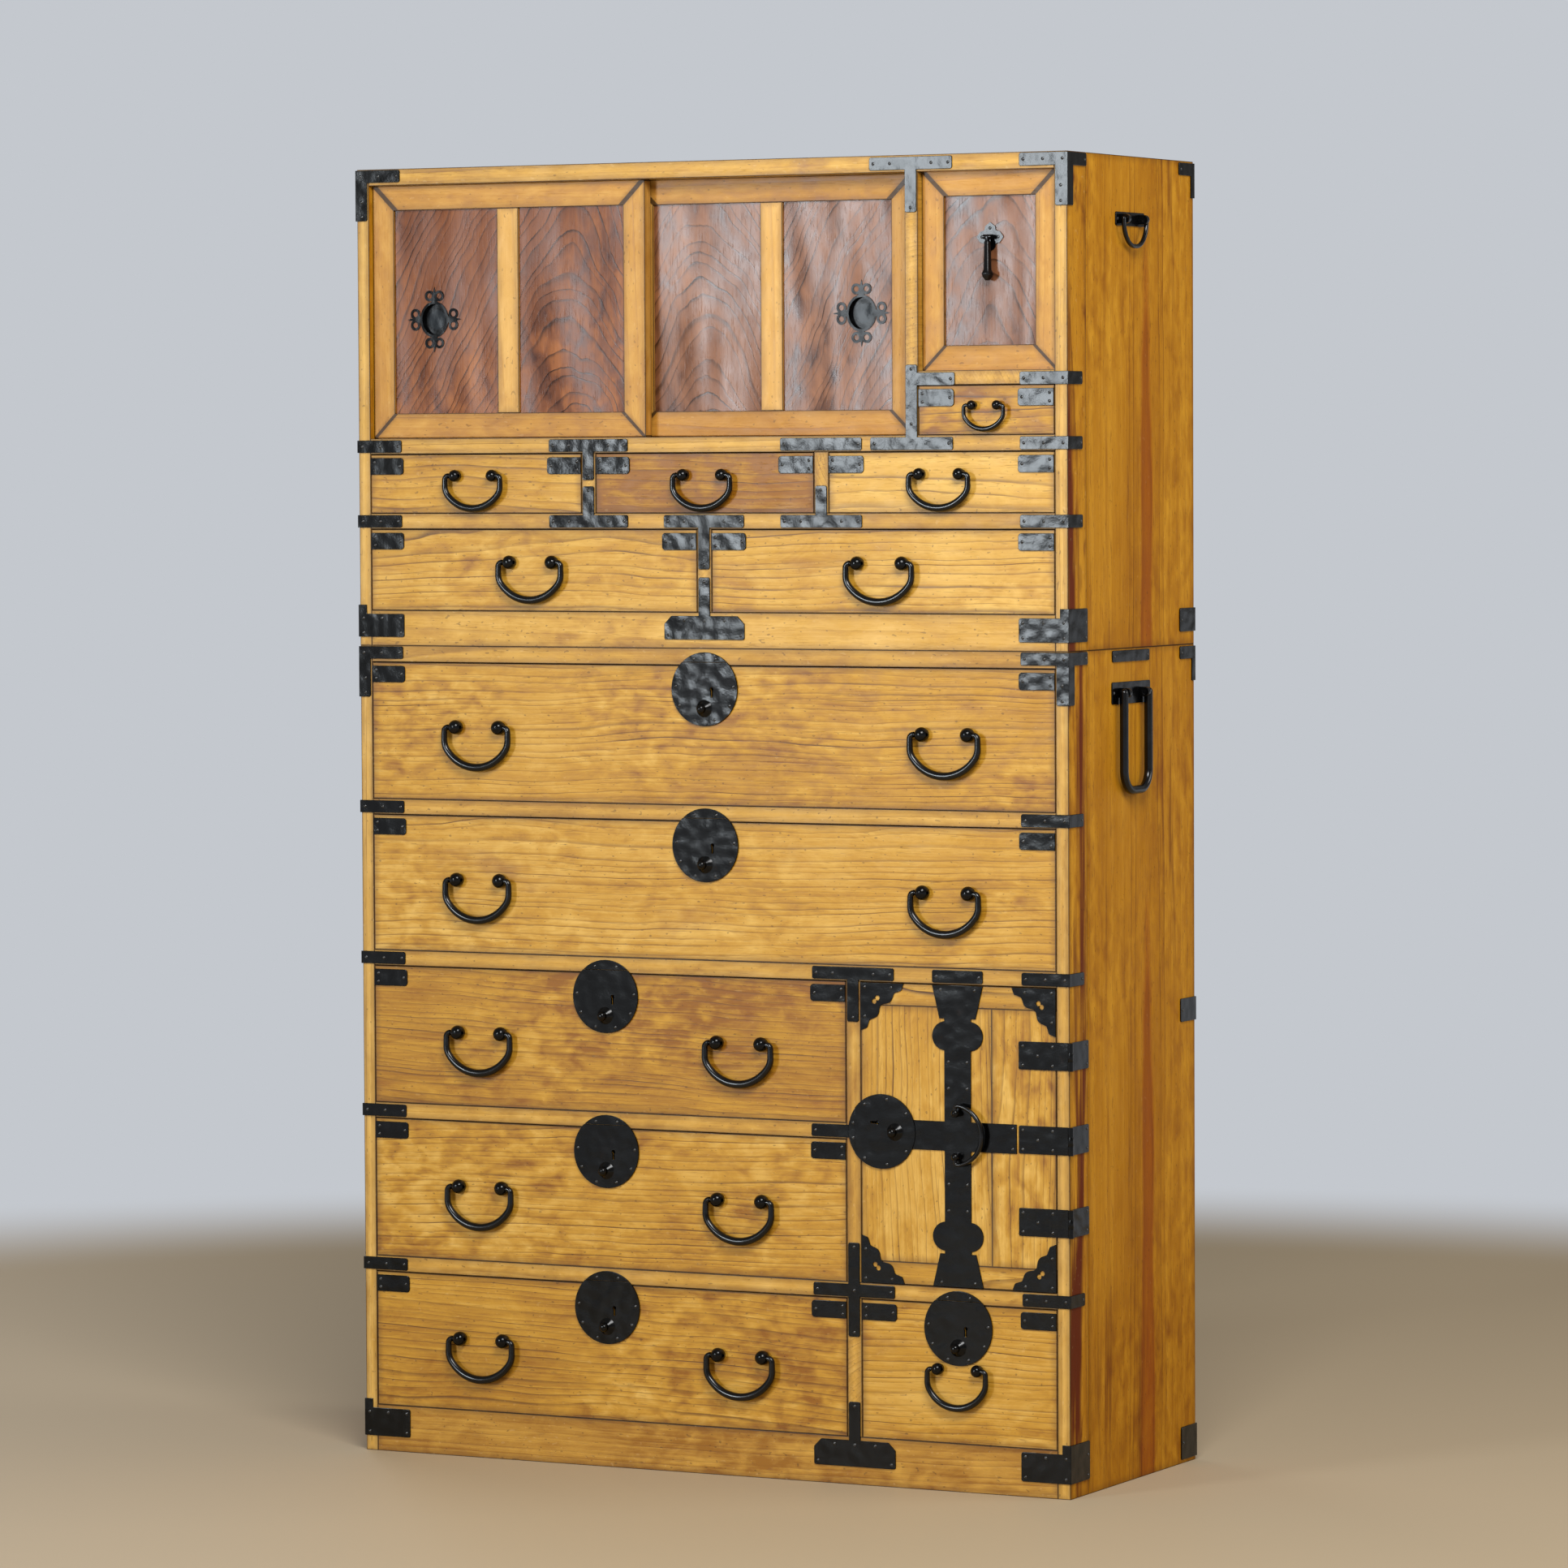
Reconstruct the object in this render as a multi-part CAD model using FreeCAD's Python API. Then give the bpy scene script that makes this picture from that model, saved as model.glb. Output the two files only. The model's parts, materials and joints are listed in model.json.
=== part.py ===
"""Two-section stacking clothes chest (kasane-dansu) in pale wood with black iron fittings.

Frame: x runs left to right, y front to back, z up from the floor.  The origin is on the
floor, at the middle of the wooden case's width and depth.  All lengths in millimetres.
"""
import FreeCAD, Part
import math
import os

V = FreeCAD.Vector

# ---------------------------------------------------------------- driving dimensions
# Cases
CASE_W = 911.0          # over the side boards
CASE_D = 345.0          # front face to back face
SIDE_POST_D = 49.5      # front post of a case side, from front to back
SIDE_BEVEL = 2.5        # bevel on the side board beside it
SIDE_T = 15.5           # side boards
TOP_T = 19.0            # top board of each case
BOARD_T = 18.0          # dust boards between rows
POST_T = 18.0           # upright partitions between drawers
BACK_T = 8.0            # back boards
BACK_JOINT = 0.4        # gap between neighbouring back boards
LOWER_BACKS, UPPER_BACKS = 4, 3     # how many back boards each case has
UNDER_T = 16.0          # bottom board of each case
RAIL_D = 20.0           # front rail below the lowest drawers, front to back
RUNNER_W = 22.0         # runner strips on the bottom board
# Lower case, from the floor up
BASE_H = 54.5           # front rail
ROW5_H = 158.0
ROW4_H = 162.5
ROW3_H = 161.0
ROW2_H = 159.0
ROW1_H = 160.0
CUPBOARD_W = 244.0      # opening behind the hinged door, and of the drawer below it
# Upper case, from its underside up
SILL_H = 41.0           # front rail
LONG_ROW_H = 95.0
SHORT_ROW_H = 69.0
DOOR_OPENING_H = 294.0
LIFT_BAY_W = 168.5      # bay with the lift-out door, at the right
DIVIDER_T = 16.0        # upright between the sliding doors and that bay
SMALL_ROW_H = 56.0      # little drawer below the lift-out door
SMALL_BOARD_T = 16.0
# Drawers
FRONT_T = 17.0
DRAWER_SIDE_T = 9.0
DRAWER_BOTTOM_T = 7.0
DRAWER_GAP = 0.9        # each side and above a drawer front
RUN_GAP = 0.3           # below a drawer
DRAWER_BACK_GAP = 6.0   # behind a closed drawer
# Sliding doors
DOOR_T = 15.0
DOOR_RECESS = 8.0       # case front to the face of the door in the front track
DOOR_SPACE = 2.0        # between the two sliding doors
DOOR_LAP = 28.0         # the closed doors overlap by one stile
DOOR_FRAME_W = 28.0
DOOR_CLEAR = 1.0        # round a door's body
PANEL_T = 6.0
PANEL_RECESS = 3.0      # door face to panel face
PANEL_TONGUE = 4.0      # depth of the panel in the frame's grooves
TONGUE_T = 9.0          # door tongues that run in the tracks
TRACK_CLEAR = 0.3       # each side of a tongue and below it
SILL_TRACK = 3.0        # depth of the lower tracks
HEAD_TRACK = 8.0        # depth of the upper tracks
HEAD_ENTRY = 5.0        # how far a tongue reaches into the upper track
TRACK_D = 45.0          # front strip of the boards that holds the tracks
# Lift-out door
LIFT_RECESS = 10.0
LIFT_FRAME_W = 27.0
LIFT_HEAD_TRACK = 10.0
LIFT_HEAD_ENTRY = 4.8
# Hinged door
HINGED_T = 18.0
CLEAT_H = 25.0          # cross cleats at the head and foot of the door
DOOR_BOARD_W = 163.0    # left one of its two upright boards
# Iron
IRON_T = 1.5
STRAP_H = 14.5          # straps that cross the board ends
STRAP_LEN = 58.0
STRAP_SIDE = 37.0       # the part of a strap round the corner
STRAP_R = 2.5
STRAP_DROP = 2.0        # board top to strap top
CORNER_DROP = 1.0       # case top to the top of its corner irons
TEE_W = 103.0
TEE_STEM_W = 14.5
CORNER_STEM_W = 14.0
CORNER_STEM_H = 60.0
CORNER_SIDE = 49.0
FOOT_H = 33.0           # corner plates at the foot of the lower case
FOOT_SHORT_H = 27.0     # the same on the narrower rail of the upper case
FOOT_DROP = 4.0         # rail top to plate top
FOOT_RISE = 10.5        # the narrow step above a foot plate
FOOT_STEP_W = 9.5
FOOT_LEN = 60.0
FOOT_TEE_H = 30.0       # foot plate under the partition of the lower case
FOOT_CLIP = 9.0         # cut corners of the foot plates between drawers
FOOT_STEM = 40.0        # their stems, above the rail
HANG_STEM = 64.0        # stems that hang down a partition, from the board top
SHORT_STEM = 31.0       # stems on the short partitions, from the opening's floor or top
CROSS_UP, CROSS_DOWN = 45.0, 62.0   # stems of the crossed strap, from the board top
BRANCH_LEN = 46.0       # level branch of the divider's iron, past the divider
PLATE_W = 44.0          # corner plates on drawer fronts
PLATE_H = 19.5
PLATE_DROP = 4.5
PLATE_R = 4.0
NAIL_R = 1.9
NAIL_H = 1.0
NAIL_MARGIN = 5.0
REAR_LEN = 42.0         # corner irons at the back, along the side
REAR_BACK = 40.0        # the same, across the back
REAR_STRAP_H = 27.0
REAR_LOW_UP = 15.0      # upper case's bottom to its lower rear irons
REAR_FOOT_UP, REAR_FOOT_H = 4.5, 38.0
REAR_STEM_W = 8.0
REAR_MID_DOWN = 421.0   # lower case's top to the middle of its iron half-way down
# Locks
LOCK_R = 42.3
LOCK_T = 2.4
FLAP_T = 1.6
LOCK_DROP = 27.5        # opening top to the plate's centre
FLAP_RISE = 3.2         # opening edge to the line between plate and flap
FLAP_GAP = 0.3
LOCK_CASE_W = 58.0
LOCK_CASE_H = 44.0
LOCK_CASE_T = 11.0
KEY_R = 2.2
KEY_SLOT_W = 2.6
KEY_SLOT_H = 9.0
KEY_SIDE = 9.5          # keyhole to the right of the centre
BOSS_R, BOSS_NECK_R = 10.0, 4.5
BOSS_H = 5.0
BOSS_DROP = 22.0
STUD_R = 5.5
DOOR_LOCK_IN = 27.0     # partition to the middle of the lock plate on the hinged door
DOOR_LOCK_RISE = 2.0    # door's middle to the middle of that plate
DOOR_FLAP_LAP = 6.5     # how far that plate reaches over the partition
DOOR_BOSS_SIDE = 17.0
DOOR_KEY_SIDE, DOOR_KEY_RISE = -5.0, 10.0
LOCK_REACH = 38.0       # lock plate's centre to the end of an iron that meets it
# Rim nails of the lock plates and flaps, in degrees anticlockwise from the right
LOCK_NAILS, FLAP_NAILS = (-150, -110, -70, -30, 5, 175), (68, 112)
DOOR_LOCK_NAILS, DOOR_FLAP_NAILS = (-125, -80, -35, 35, 80, 125), (167, 193)
# Bails: distance between the eyes, drop below them, radius of the rod and of the eyes, and
# how much the bend beside an eye is wider than the rod
LARGE_EYES, LARGE_DROP, LARGE_ROD_R, LARGE_EYE_R, LARGE_BEND = 57.0, 51.0, 4.5, 8.4, 0.5
LONG_EYES, LONG_DROP, LONG_ROD_R, LONG_EYE_R, LONG_BEND = 56.0, 48.0, 4.4, 8.0, 0.5
SHORT_EYES, SHORT_DROP, SHORT_ROD_R, SHORT_EYE_R, SHORT_BEND = 49.5, 42.0, 4.1, 7.0, 0.5
LOW_EYES, LOW_DROP, LOW_ROD_R, LOW_EYE_R, LOW_BEND = 49.0, 47.0, 4.0, 7.0, 0.5
SMALL_EYES, SMALL_DROP, SMALL_ROD_R, SMALL_EYE_R, SMALL_BEND = 31.0, 29.5, 2.8, 5.4, 0.4
DOOR_EYES, DOOR_DROP, DOOR_ROD_R, DOOR_EYE_R, DOOR_BEND = 49.0, 36.0, 2.8, 4.8, 0.8
BAIL_PIN_R = 2.0
BAIL_PIN_L = 8.0
PIN_CLEAR = 0.05
EYE_SINK = 0.25         # a ball eye's middle behind the bail axis, as a share of its radius
EYE_NECK = 0.85         # its neck's radius as a share of the ball's
EYE_AXIS = 7.4          # bail axis in front of the wood
EYE_SIDE_GAP = 0.3
# Straight upper part of a bow and radius of its lower corners, as shares of its drop
BOW_SHAPE, DOOR_BOW_SHAPE = (0.32, 0.44), (0.0, 0.55)
BAIL_FROM_LEFT = 143.0  # bay side to the middle of a bail on the wide drawers
BAIL_FROM_RIGHT = 135.0
BAIL_RISE = 5.0         # middle of the row to the bail's eyes
SHALLOW_RISE = 9.0      # the same on the shallow rows of the upper case
# Hinges of the door
HINGE_H = 31.5
HINGE_LEN = 62.0        # corner to the end of the leaf on the door
HINGE_SIDE = 48.0
KNUCKLE_R = 3.0
KNUCKLE_OFF = 2.6       # pin axis outside the corner, both ways
HINGE_PIN_R = 1.4
KNUCKLE_GAP = 0.4
LEAF_GAP = 1.2
HINGE_TOP_IN, HINGE_LOW_IN = 76.5, 78.5     # opening's top and bottom to the hinges' middles
# Ornament on the hinged door
BAR_W = 33.0
VASE_W = 63.0
VASE_NECK_W = 45.0
VASE_NECK_H = 37.5
LOBE_R = 16.5
LOBE_DROP = 19.5        # neck to the middle of the lobes
BAR_END_NAIL = 86.0     # door's edge to the nails at the ends of the upright bar
BAR_NAIL = 54.0         # middle of the level bar to the nails above and below it
VASE_NAIL = 21.0        # middle of the upright bar to the nails in its feet
# Half outline of a corner iron: along the edge, away from it, corner radius
SPANDREL = ((54.0, 0.0, 0.0), (51.0, 8.0, 3.0), (42.0, 11.0, 3.0), (38.0, 22.0, 9.0), (27.0, 24.0, 1.5))
SPANDREL_HOLE = 19.0    # middle of its two-lobed hole, from both edges
PETAL_R = 2.9
PETAL_OFF = 2.0         # from the hole's middle to the middles of its lobes, both ways
SPANDREL_NAIL = 38.0
# Side handles
HANDLE_Y = -6.0         # middle of the handles' plates, in front of the middle of the side
RING_PLATE_W, RING_PLATE_H = 78.0, 15.5
RING_DOWN, YOKE_DOWN = 71.0, 50.0   # case top to the handle's pins
RING_EYES, RING_ROD_R, RING_DROP = 62.0, 2.6, 33.0
YOKE_PLATE_W, YOKE_PLATE_H = 104.0, 25.0
YOKE_ARMS, YOKE_ROD_R, YOKE_DROP = 67.0, 4.9, 115.0
YOKE_CORNER_R = 23.0
HANDLE_OUT = 7.5        # side board to the axis of a handle's pins
RING_PIN_R, YOKE_PIN_R = 1.8, 2.8
EAR_R = 5.4
EAR_T = 6.0
KEEPER_W, KEEPER_H = 101.0, 13.0
# Cup pulls on the sliding doors
CUP_W, CUP_H = 32.0, 36.0
CUP_RIM = 2.8
CUP_WALL = 0.8
CUP_PLATE_T = 1.0
CUP_Z = 138.0           # above the door opening's floor
CUP_FROM_SIDE = 81.5    # opening side to the left cup
CUP_FROM_DIVIDER = 68.0
CURL_R, CURL_HOLE_R = 6.2, 3.3
CURL_REACH = 6.5        # rim to the middle of a scroll
CURL_SIDE = 6.4         # a scroll's middle to the line of the point
CURL_ROOT = 4.0         # half the width of the point where it leaves the rim
CURL_SINK = 1.0         # how far the point's root reaches under the rim
CURL_TIP = 17.0
# Drop pull on the lift-out door
DROP_Z = 148.0          # above the lift-out door's sill
# A quarter of its plate's outline: across, up, corner radius
DROP_PLATE = ((16.5, 0.0, 1.0), (11.8, 6.2, 3.0), (8.6, 6.6, 0.8), (7.4, 7.4, 0.8), (6.6, 8.6, 0.8),
              (6.2, 11.8, 3.0))
PLATE_NAIL = 10.0       # its middle to its nails
DROP_PIN_R = 1.3
DROP_NECK = 2.6         # pin axis to the top of the six-sided drop
# Its sections from the neck down: distance below the neck, corner radius
DROP_STEPS = ((0.0, 4.0), (31.4, 5.0), (35.4, 7.6), (39.4, 6.1), (43.4, 2.5))
DROP_EYE, PULL_EAR = 2.0, 2.5       # half the width of the drop's eye, width of an ear
EAR_GAP = 0.3
DROP_OUT = 8.5          # pin axis in front of the door's panel

TOUCH = 1e-6            # points closer than this are one point
OVER = 1.0              # how far a cutting tool passes the surface that it leaves

# ---------------------------------------------------------------- derived places
LEFT, RIGHT = -CASE_W / 2, CASE_W / 2
FRONT, BACK = -CASE_D / 2, CASE_D / 2
INNER_L, INNER_R = LEFT + SIDE_T, RIGHT - SIDE_T
BOARD_BACK = BACK - BACK_T
ROW5_Z = BASE_H
ROW4_Z = ROW5_Z + ROW5_H + BOARD_T
ROW3_Z = ROW4_Z + ROW4_H + BOARD_T
ROW2_Z = ROW3_Z + ROW3_H + BOARD_T
ROW1_Z = ROW2_Z + ROW2_H + BOARD_T
LOWER_TOP = ROW1_Z + ROW1_H + TOP_T
POST_X1 = INNER_R - CUPBOARD_W
POST_X0 = POST_X1 - POST_T
LONG_ROW_Z = LOWER_TOP + SILL_H
SHORT_ROW_Z = LONG_ROW_Z + LONG_ROW_H + BOARD_T
DOOR_Z = SHORT_ROW_Z + SHORT_ROW_H + BOARD_T
DOOR_TOP = DOOR_Z + DOOR_OPENING_H
UPPER_TOP = DOOR_TOP + TOP_T
RING_Z, YOKE_Z = UPPER_TOP - RING_DOWN, LOWER_TOP - YOKE_DOWN
REAR_MID_Z = LOWER_TOP - REAR_MID_DOWN
DIVIDER_X1 = INNER_R - LIFT_BAY_W
DIVIDER_X0 = DIVIDER_X1 - DIVIDER_T
SMALL_TOP = DOOR_Z + SMALL_ROW_H
LIFT_Z = SMALL_TOP + SMALL_BOARD_T
SHORT_W = (INNER_R - INNER_L - 2 * POST_T) / 3
LONG_W = (INNER_R - INNER_L - POST_T) / 2
REAR_TRACK = DOOR_RECESS + DOOR_T + DOOR_SPACE
DOOR_W = (DIVIDER_X0 - INNER_L + DOOR_LAP) / 2
HINGE_X, HINGE_Y = RIGHT + KNUCKLE_OFF, FRONT - KNUCKLE_OFF
HINGED_X0, HINGED_X1 = POST_X1 + DRAWER_GAP, INNER_R - DRAWER_GAP
HINGED_Z0, HINGED_Z1 = ROW4_Z + DRAWER_GAP, ROW3_Z + ROW3_H - DRAWER_GAP
BAR_X = (HINGED_X0 + HINGED_X1) / 2
HINGE_MID_Z = (HINGED_Z0 + HINGED_Z1) / 2
HINGE_TOP_Z, HINGE_LOW_Z = ROW3_Z + ROW3_H - HINGE_TOP_IN, ROW4_Z + HINGE_LOW_IN
DOOR_LOCK_Z = HINGE_MID_Z + DOOR_LOCK_RISE
DOOR_LOCK_X = POST_X1 + DOOR_LOCK_IN
DOOR_FLAP_X = POST_X1 - DOOR_FLAP_LAP
RING_EAR_Y = RING_EYES / 2 - EAR_T / 2 - RING_ROD_R - EYE_SIDE_GAP
YOKE_EAR_Y = YOKE_ARMS / 2 - EAR_T / 2 - YOKE_ROD_R - EYE_SIDE_GAP
LIFT_X = (DIVIDER_X1 + INNER_R) / 2
PULL_Z = LIFT_Z + DROP_Z
PULL_FACE = FRONT + LIFT_RECESS + PANEL_RECESS


class Bay:
    """Opening in a case's front, between two uprights and two boards."""

    def __init__(self, x0, x1, z0, height):
        self.x0, self.x1, self.z0, self.z1 = x0, x1, z0, z0 + height
        self.cx, self.cz = (x0 + x1) / 2, z0 + height / 2


BAYS = {
    "top_wide": Bay(INNER_L, INNER_R, ROW1_Z, ROW1_H),
    "second_wide": Bay(INNER_L, INNER_R, ROW2_Z, ROW2_H),
    "third_left": Bay(INNER_L, POST_X0, ROW3_Z, ROW3_H),
    "fourth_left": Bay(INNER_L, POST_X0, ROW4_Z, ROW4_H),
    "bottom_left": Bay(INNER_L, POST_X0, ROW5_Z, ROW5_H),
    "bottom_right": Bay(POST_X1, INNER_R, ROW5_Z, ROW5_H),
    "long_left": Bay(INNER_L, INNER_L + LONG_W, LONG_ROW_Z, LONG_ROW_H),
    "long_right": Bay(INNER_R - LONG_W, INNER_R, LONG_ROW_Z, LONG_ROW_H),
    "short_left": Bay(INNER_L, INNER_L + SHORT_W, SHORT_ROW_Z, SHORT_ROW_H),
    "short_middle": Bay(-SHORT_W / 2, SHORT_W / 2, SHORT_ROW_Z, SHORT_ROW_H),
    "short_right": Bay(INNER_R - SHORT_W, INNER_R, SHORT_ROW_Z, SHORT_ROW_H),
    "small_upper": Bay(DIVIDER_X1, INNER_R, DOOR_Z, SMALL_ROW_H),
}
LOCKED = ("top_wide", "second_wide", "third_left", "fourth_left", "bottom_left", "bottom_right")
TWO_BAILS = ("top_wide", "second_wide", "third_left", "fourth_left", "bottom_left")


# ---------------------------------------------------------------- plain solids
def block(x0, x1, y0, y1, z0, z1):
    return Part.makeBox(x1 - x0, y1 - y0, z1 - z0, V(x0, y0, z0))


def rod(start, end, radius):
    return Part.makeCylinder(radius, (end - start).Length, start, end - start)


def wire(corners):
    """Closed outline in the plane y = 0 from corners (x, z) or (x, z, corner radius)."""
    starts, ends, edges = [], [], []
    for i, corner in enumerate(corners):
        here = V(corner[0], 0, corner[1])
        before, after = corners[i - 1], corners[(i + 1) % len(corners)]
        back = (V(before[0], 0, before[1]) - here).normalize()
        ahead = (V(after[0], 0, after[1]) - here).normalize()
        radius = corner[2] if len(corner) > 2 else 0
        if radius == 0:
            starts.append(here)
            ends.append(here)
            continue
        half = back.getAngle(ahead) / 2
        reach = radius / math.tan(half)
        middle = here + (back + ahead).normalize() * (radius / math.sin(half) - radius)
        starts.append(here + back * reach)
        ends.append(here + ahead * reach)
        edges.append(Part.Arc(starts[-1], middle, ends[-1]).toShape())
    for i, end in enumerate(ends):
        start = starts[(i + 1) % len(starts)]
        if (start - end).Length > TOUCH:
            edges.append(Part.LineSegment(end, start).toShape())
    return Part.Wire(Part.__sortEdges__(edges))


def plate(corners, thickness=IRON_T, depth=0.0):
    """Sheet on the front face, or on a face that lies depth behind it."""
    shape = Part.Face(wire(corners)).extrude(V(0, -thickness, 0))
    shape.translate(V(0, FRONT + depth, 0))
    return shape


def strip(x0, x1, z0, z1, left_r=0.0, right_r=0.0):
    """Corners of a strap whose left and right ends have their own corner radius."""
    return [(x0, z0, left_r), (x1, z0, right_r), (x1, z1, right_r), (x0, z1, left_r)]


def on_side(shape):
    """Turn a sheet drawn on the front into one on the right side; its x becomes y."""
    turned = shape.copy()
    turned.translate(V(0, -FRONT, 0))
    turned.rotate(V(0, 0, 0), V(0, 0, 1), 90)
    turned.translate(V(RIGHT, 0, 0))
    return turned


def mirrored(shape):
    return shape.mirror(V(0, 0, 0), V(1, 0, 0))


def both_sides(shapes):
    return list(shapes) + [mirrored(shape) for shape in shapes]


def merged(first, *others):
    return first.multiFuse(list(others)).removeSplitter()


def dome(base, direction, radius, height):
    """Cap of a ball, with its flat face at base."""
    ball = (radius ** 2 + height ** 2) / (2 * height)
    rise = ball - height
    start_angle = math.degrees(math.asin(rise / ball))
    return Part.makeSphere(ball, base - direction * rise, direction, start_angle, 90, 360)


def nail(x, z, depth=0.0, thickness=IRON_T):
    return dome(V(x, FRONT + depth - thickness, z), V(0, -1, 0), NAIL_R, NAIL_H)


def nails(points, depth=0.0, thickness=IRON_T):
    return [nail(x, z, depth, thickness) for x, z in points]


def save(name, shapes):
    solids = []
    for shape in shapes:
        solids.extend(shape.Solids)
    body = solids[0] if len(solids) == 1 else Part.makeCompound(solids)
    body.exportStep(f"parts/{name}.step")


# ---------------------------------------------------------------- drawers
def lock_case(bay):
    """Closed iron box let into the back of a front, flush with its top edge."""
    top = bay.z1 - DRAWER_GAP
    y1 = FRONT + FRONT_T
    return block(bay.cx - LOCK_CASE_W / 2, bay.cx + LOCK_CASE_W / 2, y1 - LOCK_CASE_T, y1,
                 top - LOCK_CASE_H, top)


def key_cut(cx, cz, length, hangs=True):
    """Keyhole: a round hole with a narrow slot, cut back from the front of the plate."""
    start = FRONT - length / 2
    hole = rod(V(cx, start, cz), V(cx, start + length, cz), KEY_R)
    half, end = KEY_SLOT_W / 2, start + length
    if hangs:
        slot = block(cx - half, cx + half, start, end, cz - KEY_SLOT_H, cz)
    else:
        slot = block(cx - KEY_SLOT_H, cx, start, end, cz - half, cz + half)
    return hole.fuse(slot)


def drawer_box(name):
    bay = BAYS[name]
    x0, x1 = bay.x0 + DRAWER_GAP, bay.x1 - DRAWER_GAP
    z0, z1 = bay.z0 + RUN_GAP, bay.z1 - DRAWER_GAP
    side_y, back_y = FRONT + FRONT_T, BOARD_BACK - DRAWER_BACK_GAP
    side_top = z1 - RUN_GAP
    front = block(x0, x1, FRONT, side_y, z0, z1)
    if name in LOCKED:
        front = front.cut(lock_case(bay))
        front = front.cut(key_cut(bay.cx + KEY_SIDE, bay.z1 - LOCK_DROP, FRONT_T))
    inner_x0, inner_x1 = x0 + DRAWER_SIDE_T, x1 - DRAWER_SIDE_T
    return [
        front,
        block(x0, inner_x0, side_y, back_y, z0, side_top),
        block(inner_x1, x1, side_y, back_y, z0, side_top),
        block(inner_x0, inner_x1, back_y - DRAWER_SIDE_T, back_y, z0 + DRAWER_BOTTOM_T, side_top),
        block(inner_x0, inner_x1, side_y, back_y, z0, z0 + DRAWER_BOTTOM_T),
    ]


def drawer_plates(name):
    """Two corner plates on a drawer front, each with three nails."""
    bay = BAYS[name]
    top = bay.z1 - PLATE_DROP
    x0, x1 = bay.x0 + DRAWER_GAP, bay.x1 - DRAWER_GAP
    inset, low, high = NAIL_MARGIN, top - PLATE_H + NAIL_MARGIN, top - NAIL_MARGIN
    left = plate(strip(x0, x0 + PLATE_W, top - PLATE_H, top, 0, PLATE_R))
    right = plate(strip(x1 - PLATE_W, x1, top - PLATE_H, top, PLATE_R, 0))
    marks = []
    for edge, way in ((x0, 1), (x1, -1)):
        marks += [(edge + way * inset, low), (edge + way * inset, high)]
        marks.append((edge + way * (PLATE_W - inset), (low + high) / 2))
    return [left, right] + nails(marks)


def disc(cx, cz, thickness):
    return rod(V(cx, FRONT, cz), V(cx, FRONT - thickness, cz), LOCK_R)


def boss(cx, cz):
    """Domed collar with a ball stud, standing on the lock plate."""
    base = V(cx, FRONT - LOCK_T, cz)
    out = V(0, -1, 0)
    collar = Part.makeCone(BOSS_R, BOSS_NECK_R, BOSS_H, base, out)
    ball = Part.makeSphere(STUD_R, base + out * (BOSS_H + STUD_R / 2))
    return merged(collar, ball)


def rim_nails(cx, cz, angles, thickness):
    reach = LOCK_R - NAIL_MARGIN
    places = [(cx + reach * math.cos(math.radians(a)), cz + reach * math.sin(math.radians(a)))
              for a in angles]
    return nails(places, thickness=thickness)


def drawer_lock(name):
    """Lock plate below the flap line, its boss and nails, and the lock case behind."""
    bay = BAYS[name]
    cz = bay.z1 - LOCK_DROP
    line = bay.z1 + FLAP_RISE
    above = block(bay.cx - LOCK_R, bay.cx + LOCK_R, FRONT - LOCK_T, FRONT, line, cz + LOCK_R + OVER)
    sheet = disc(bay.cx, cz, LOCK_T).cut(above)
    sheet = sheet.cut(key_cut(bay.cx + KEY_SIDE, cz, FRONT_T))
    marks = rim_nails(bay.cx, cz, LOCK_NAILS, LOCK_T)
    return [sheet, boss(bay.cx, cz - BOSS_DROP), lock_case(bay)] + marks


def lock_flap(name):
    """Top segment of the lock plate, fixed on the board above the drawer."""
    bay = BAYS[name]
    cz = bay.z1 - LOCK_DROP
    line = bay.z1 + FLAP_RISE + FLAP_GAP
    below = block(bay.cx - LOCK_R, bay.cx + LOCK_R, FRONT - FLAP_T, FRONT, cz - LOCK_R, line)
    return [disc(bay.cx, cz, FLAP_T).cut(below)] + rim_nails(bay.cx, cz, FLAP_NAILS, FLAP_T)


# ---------------------------------------------------------------- bails
class Bail:
    """Swinging pull: two eyes on a level axis and a bow that hangs below them."""

    def __init__(self, x, z, eyes, drop, rod_r, eye_r, bend):
        self.x, self.z, self.eyes, self.drop, self.rod_r, self.eye_r = x, z, eyes, drop, rod_r, eye_r
        self.start_x = eyes / 2 + eye_r + EYE_SIDE_GAP
        self.bend_r = rod_r + bend
        self.shape = BOW_SHAPE


def drawer_bails(name):
    bay = BAYS[name]
    if name in TWO_BAILS:
        z = bay.cz + BAIL_RISE
        size = (LARGE_EYES, LARGE_DROP, LARGE_ROD_R, LARGE_EYE_R, LARGE_BEND)
        return {f"{name}_bail_left": Bail(bay.x0 + BAIL_FROM_LEFT, z, *size),
                f"{name}_bail_right": Bail(bay.x1 - BAIL_FROM_RIGHT, z, *size)}
    rise = BAIL_RISE
    if name == "bottom_right":
        size = (LOW_EYES, LOW_DROP, LOW_ROD_R, LOW_EYE_R, LOW_BEND)
    elif name == "small_upper":
        size = (SMALL_EYES, SMALL_DROP, SMALL_ROD_R, SMALL_EYE_R, SMALL_BEND)
    elif name.startswith("short"):
        size, rise = (SHORT_EYES, SHORT_DROP, SHORT_ROD_R, SHORT_EYE_R, SHORT_BEND), SHALLOW_RISE
    else:
        size, rise = (LONG_EYES, LONG_DROP, LONG_ROD_R, LONG_EYE_R, LONG_BEND), SHALLOW_RISE
    return {f"{name}_bail": Bail(bay.cx, bay.cz + rise, *size)}


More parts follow.
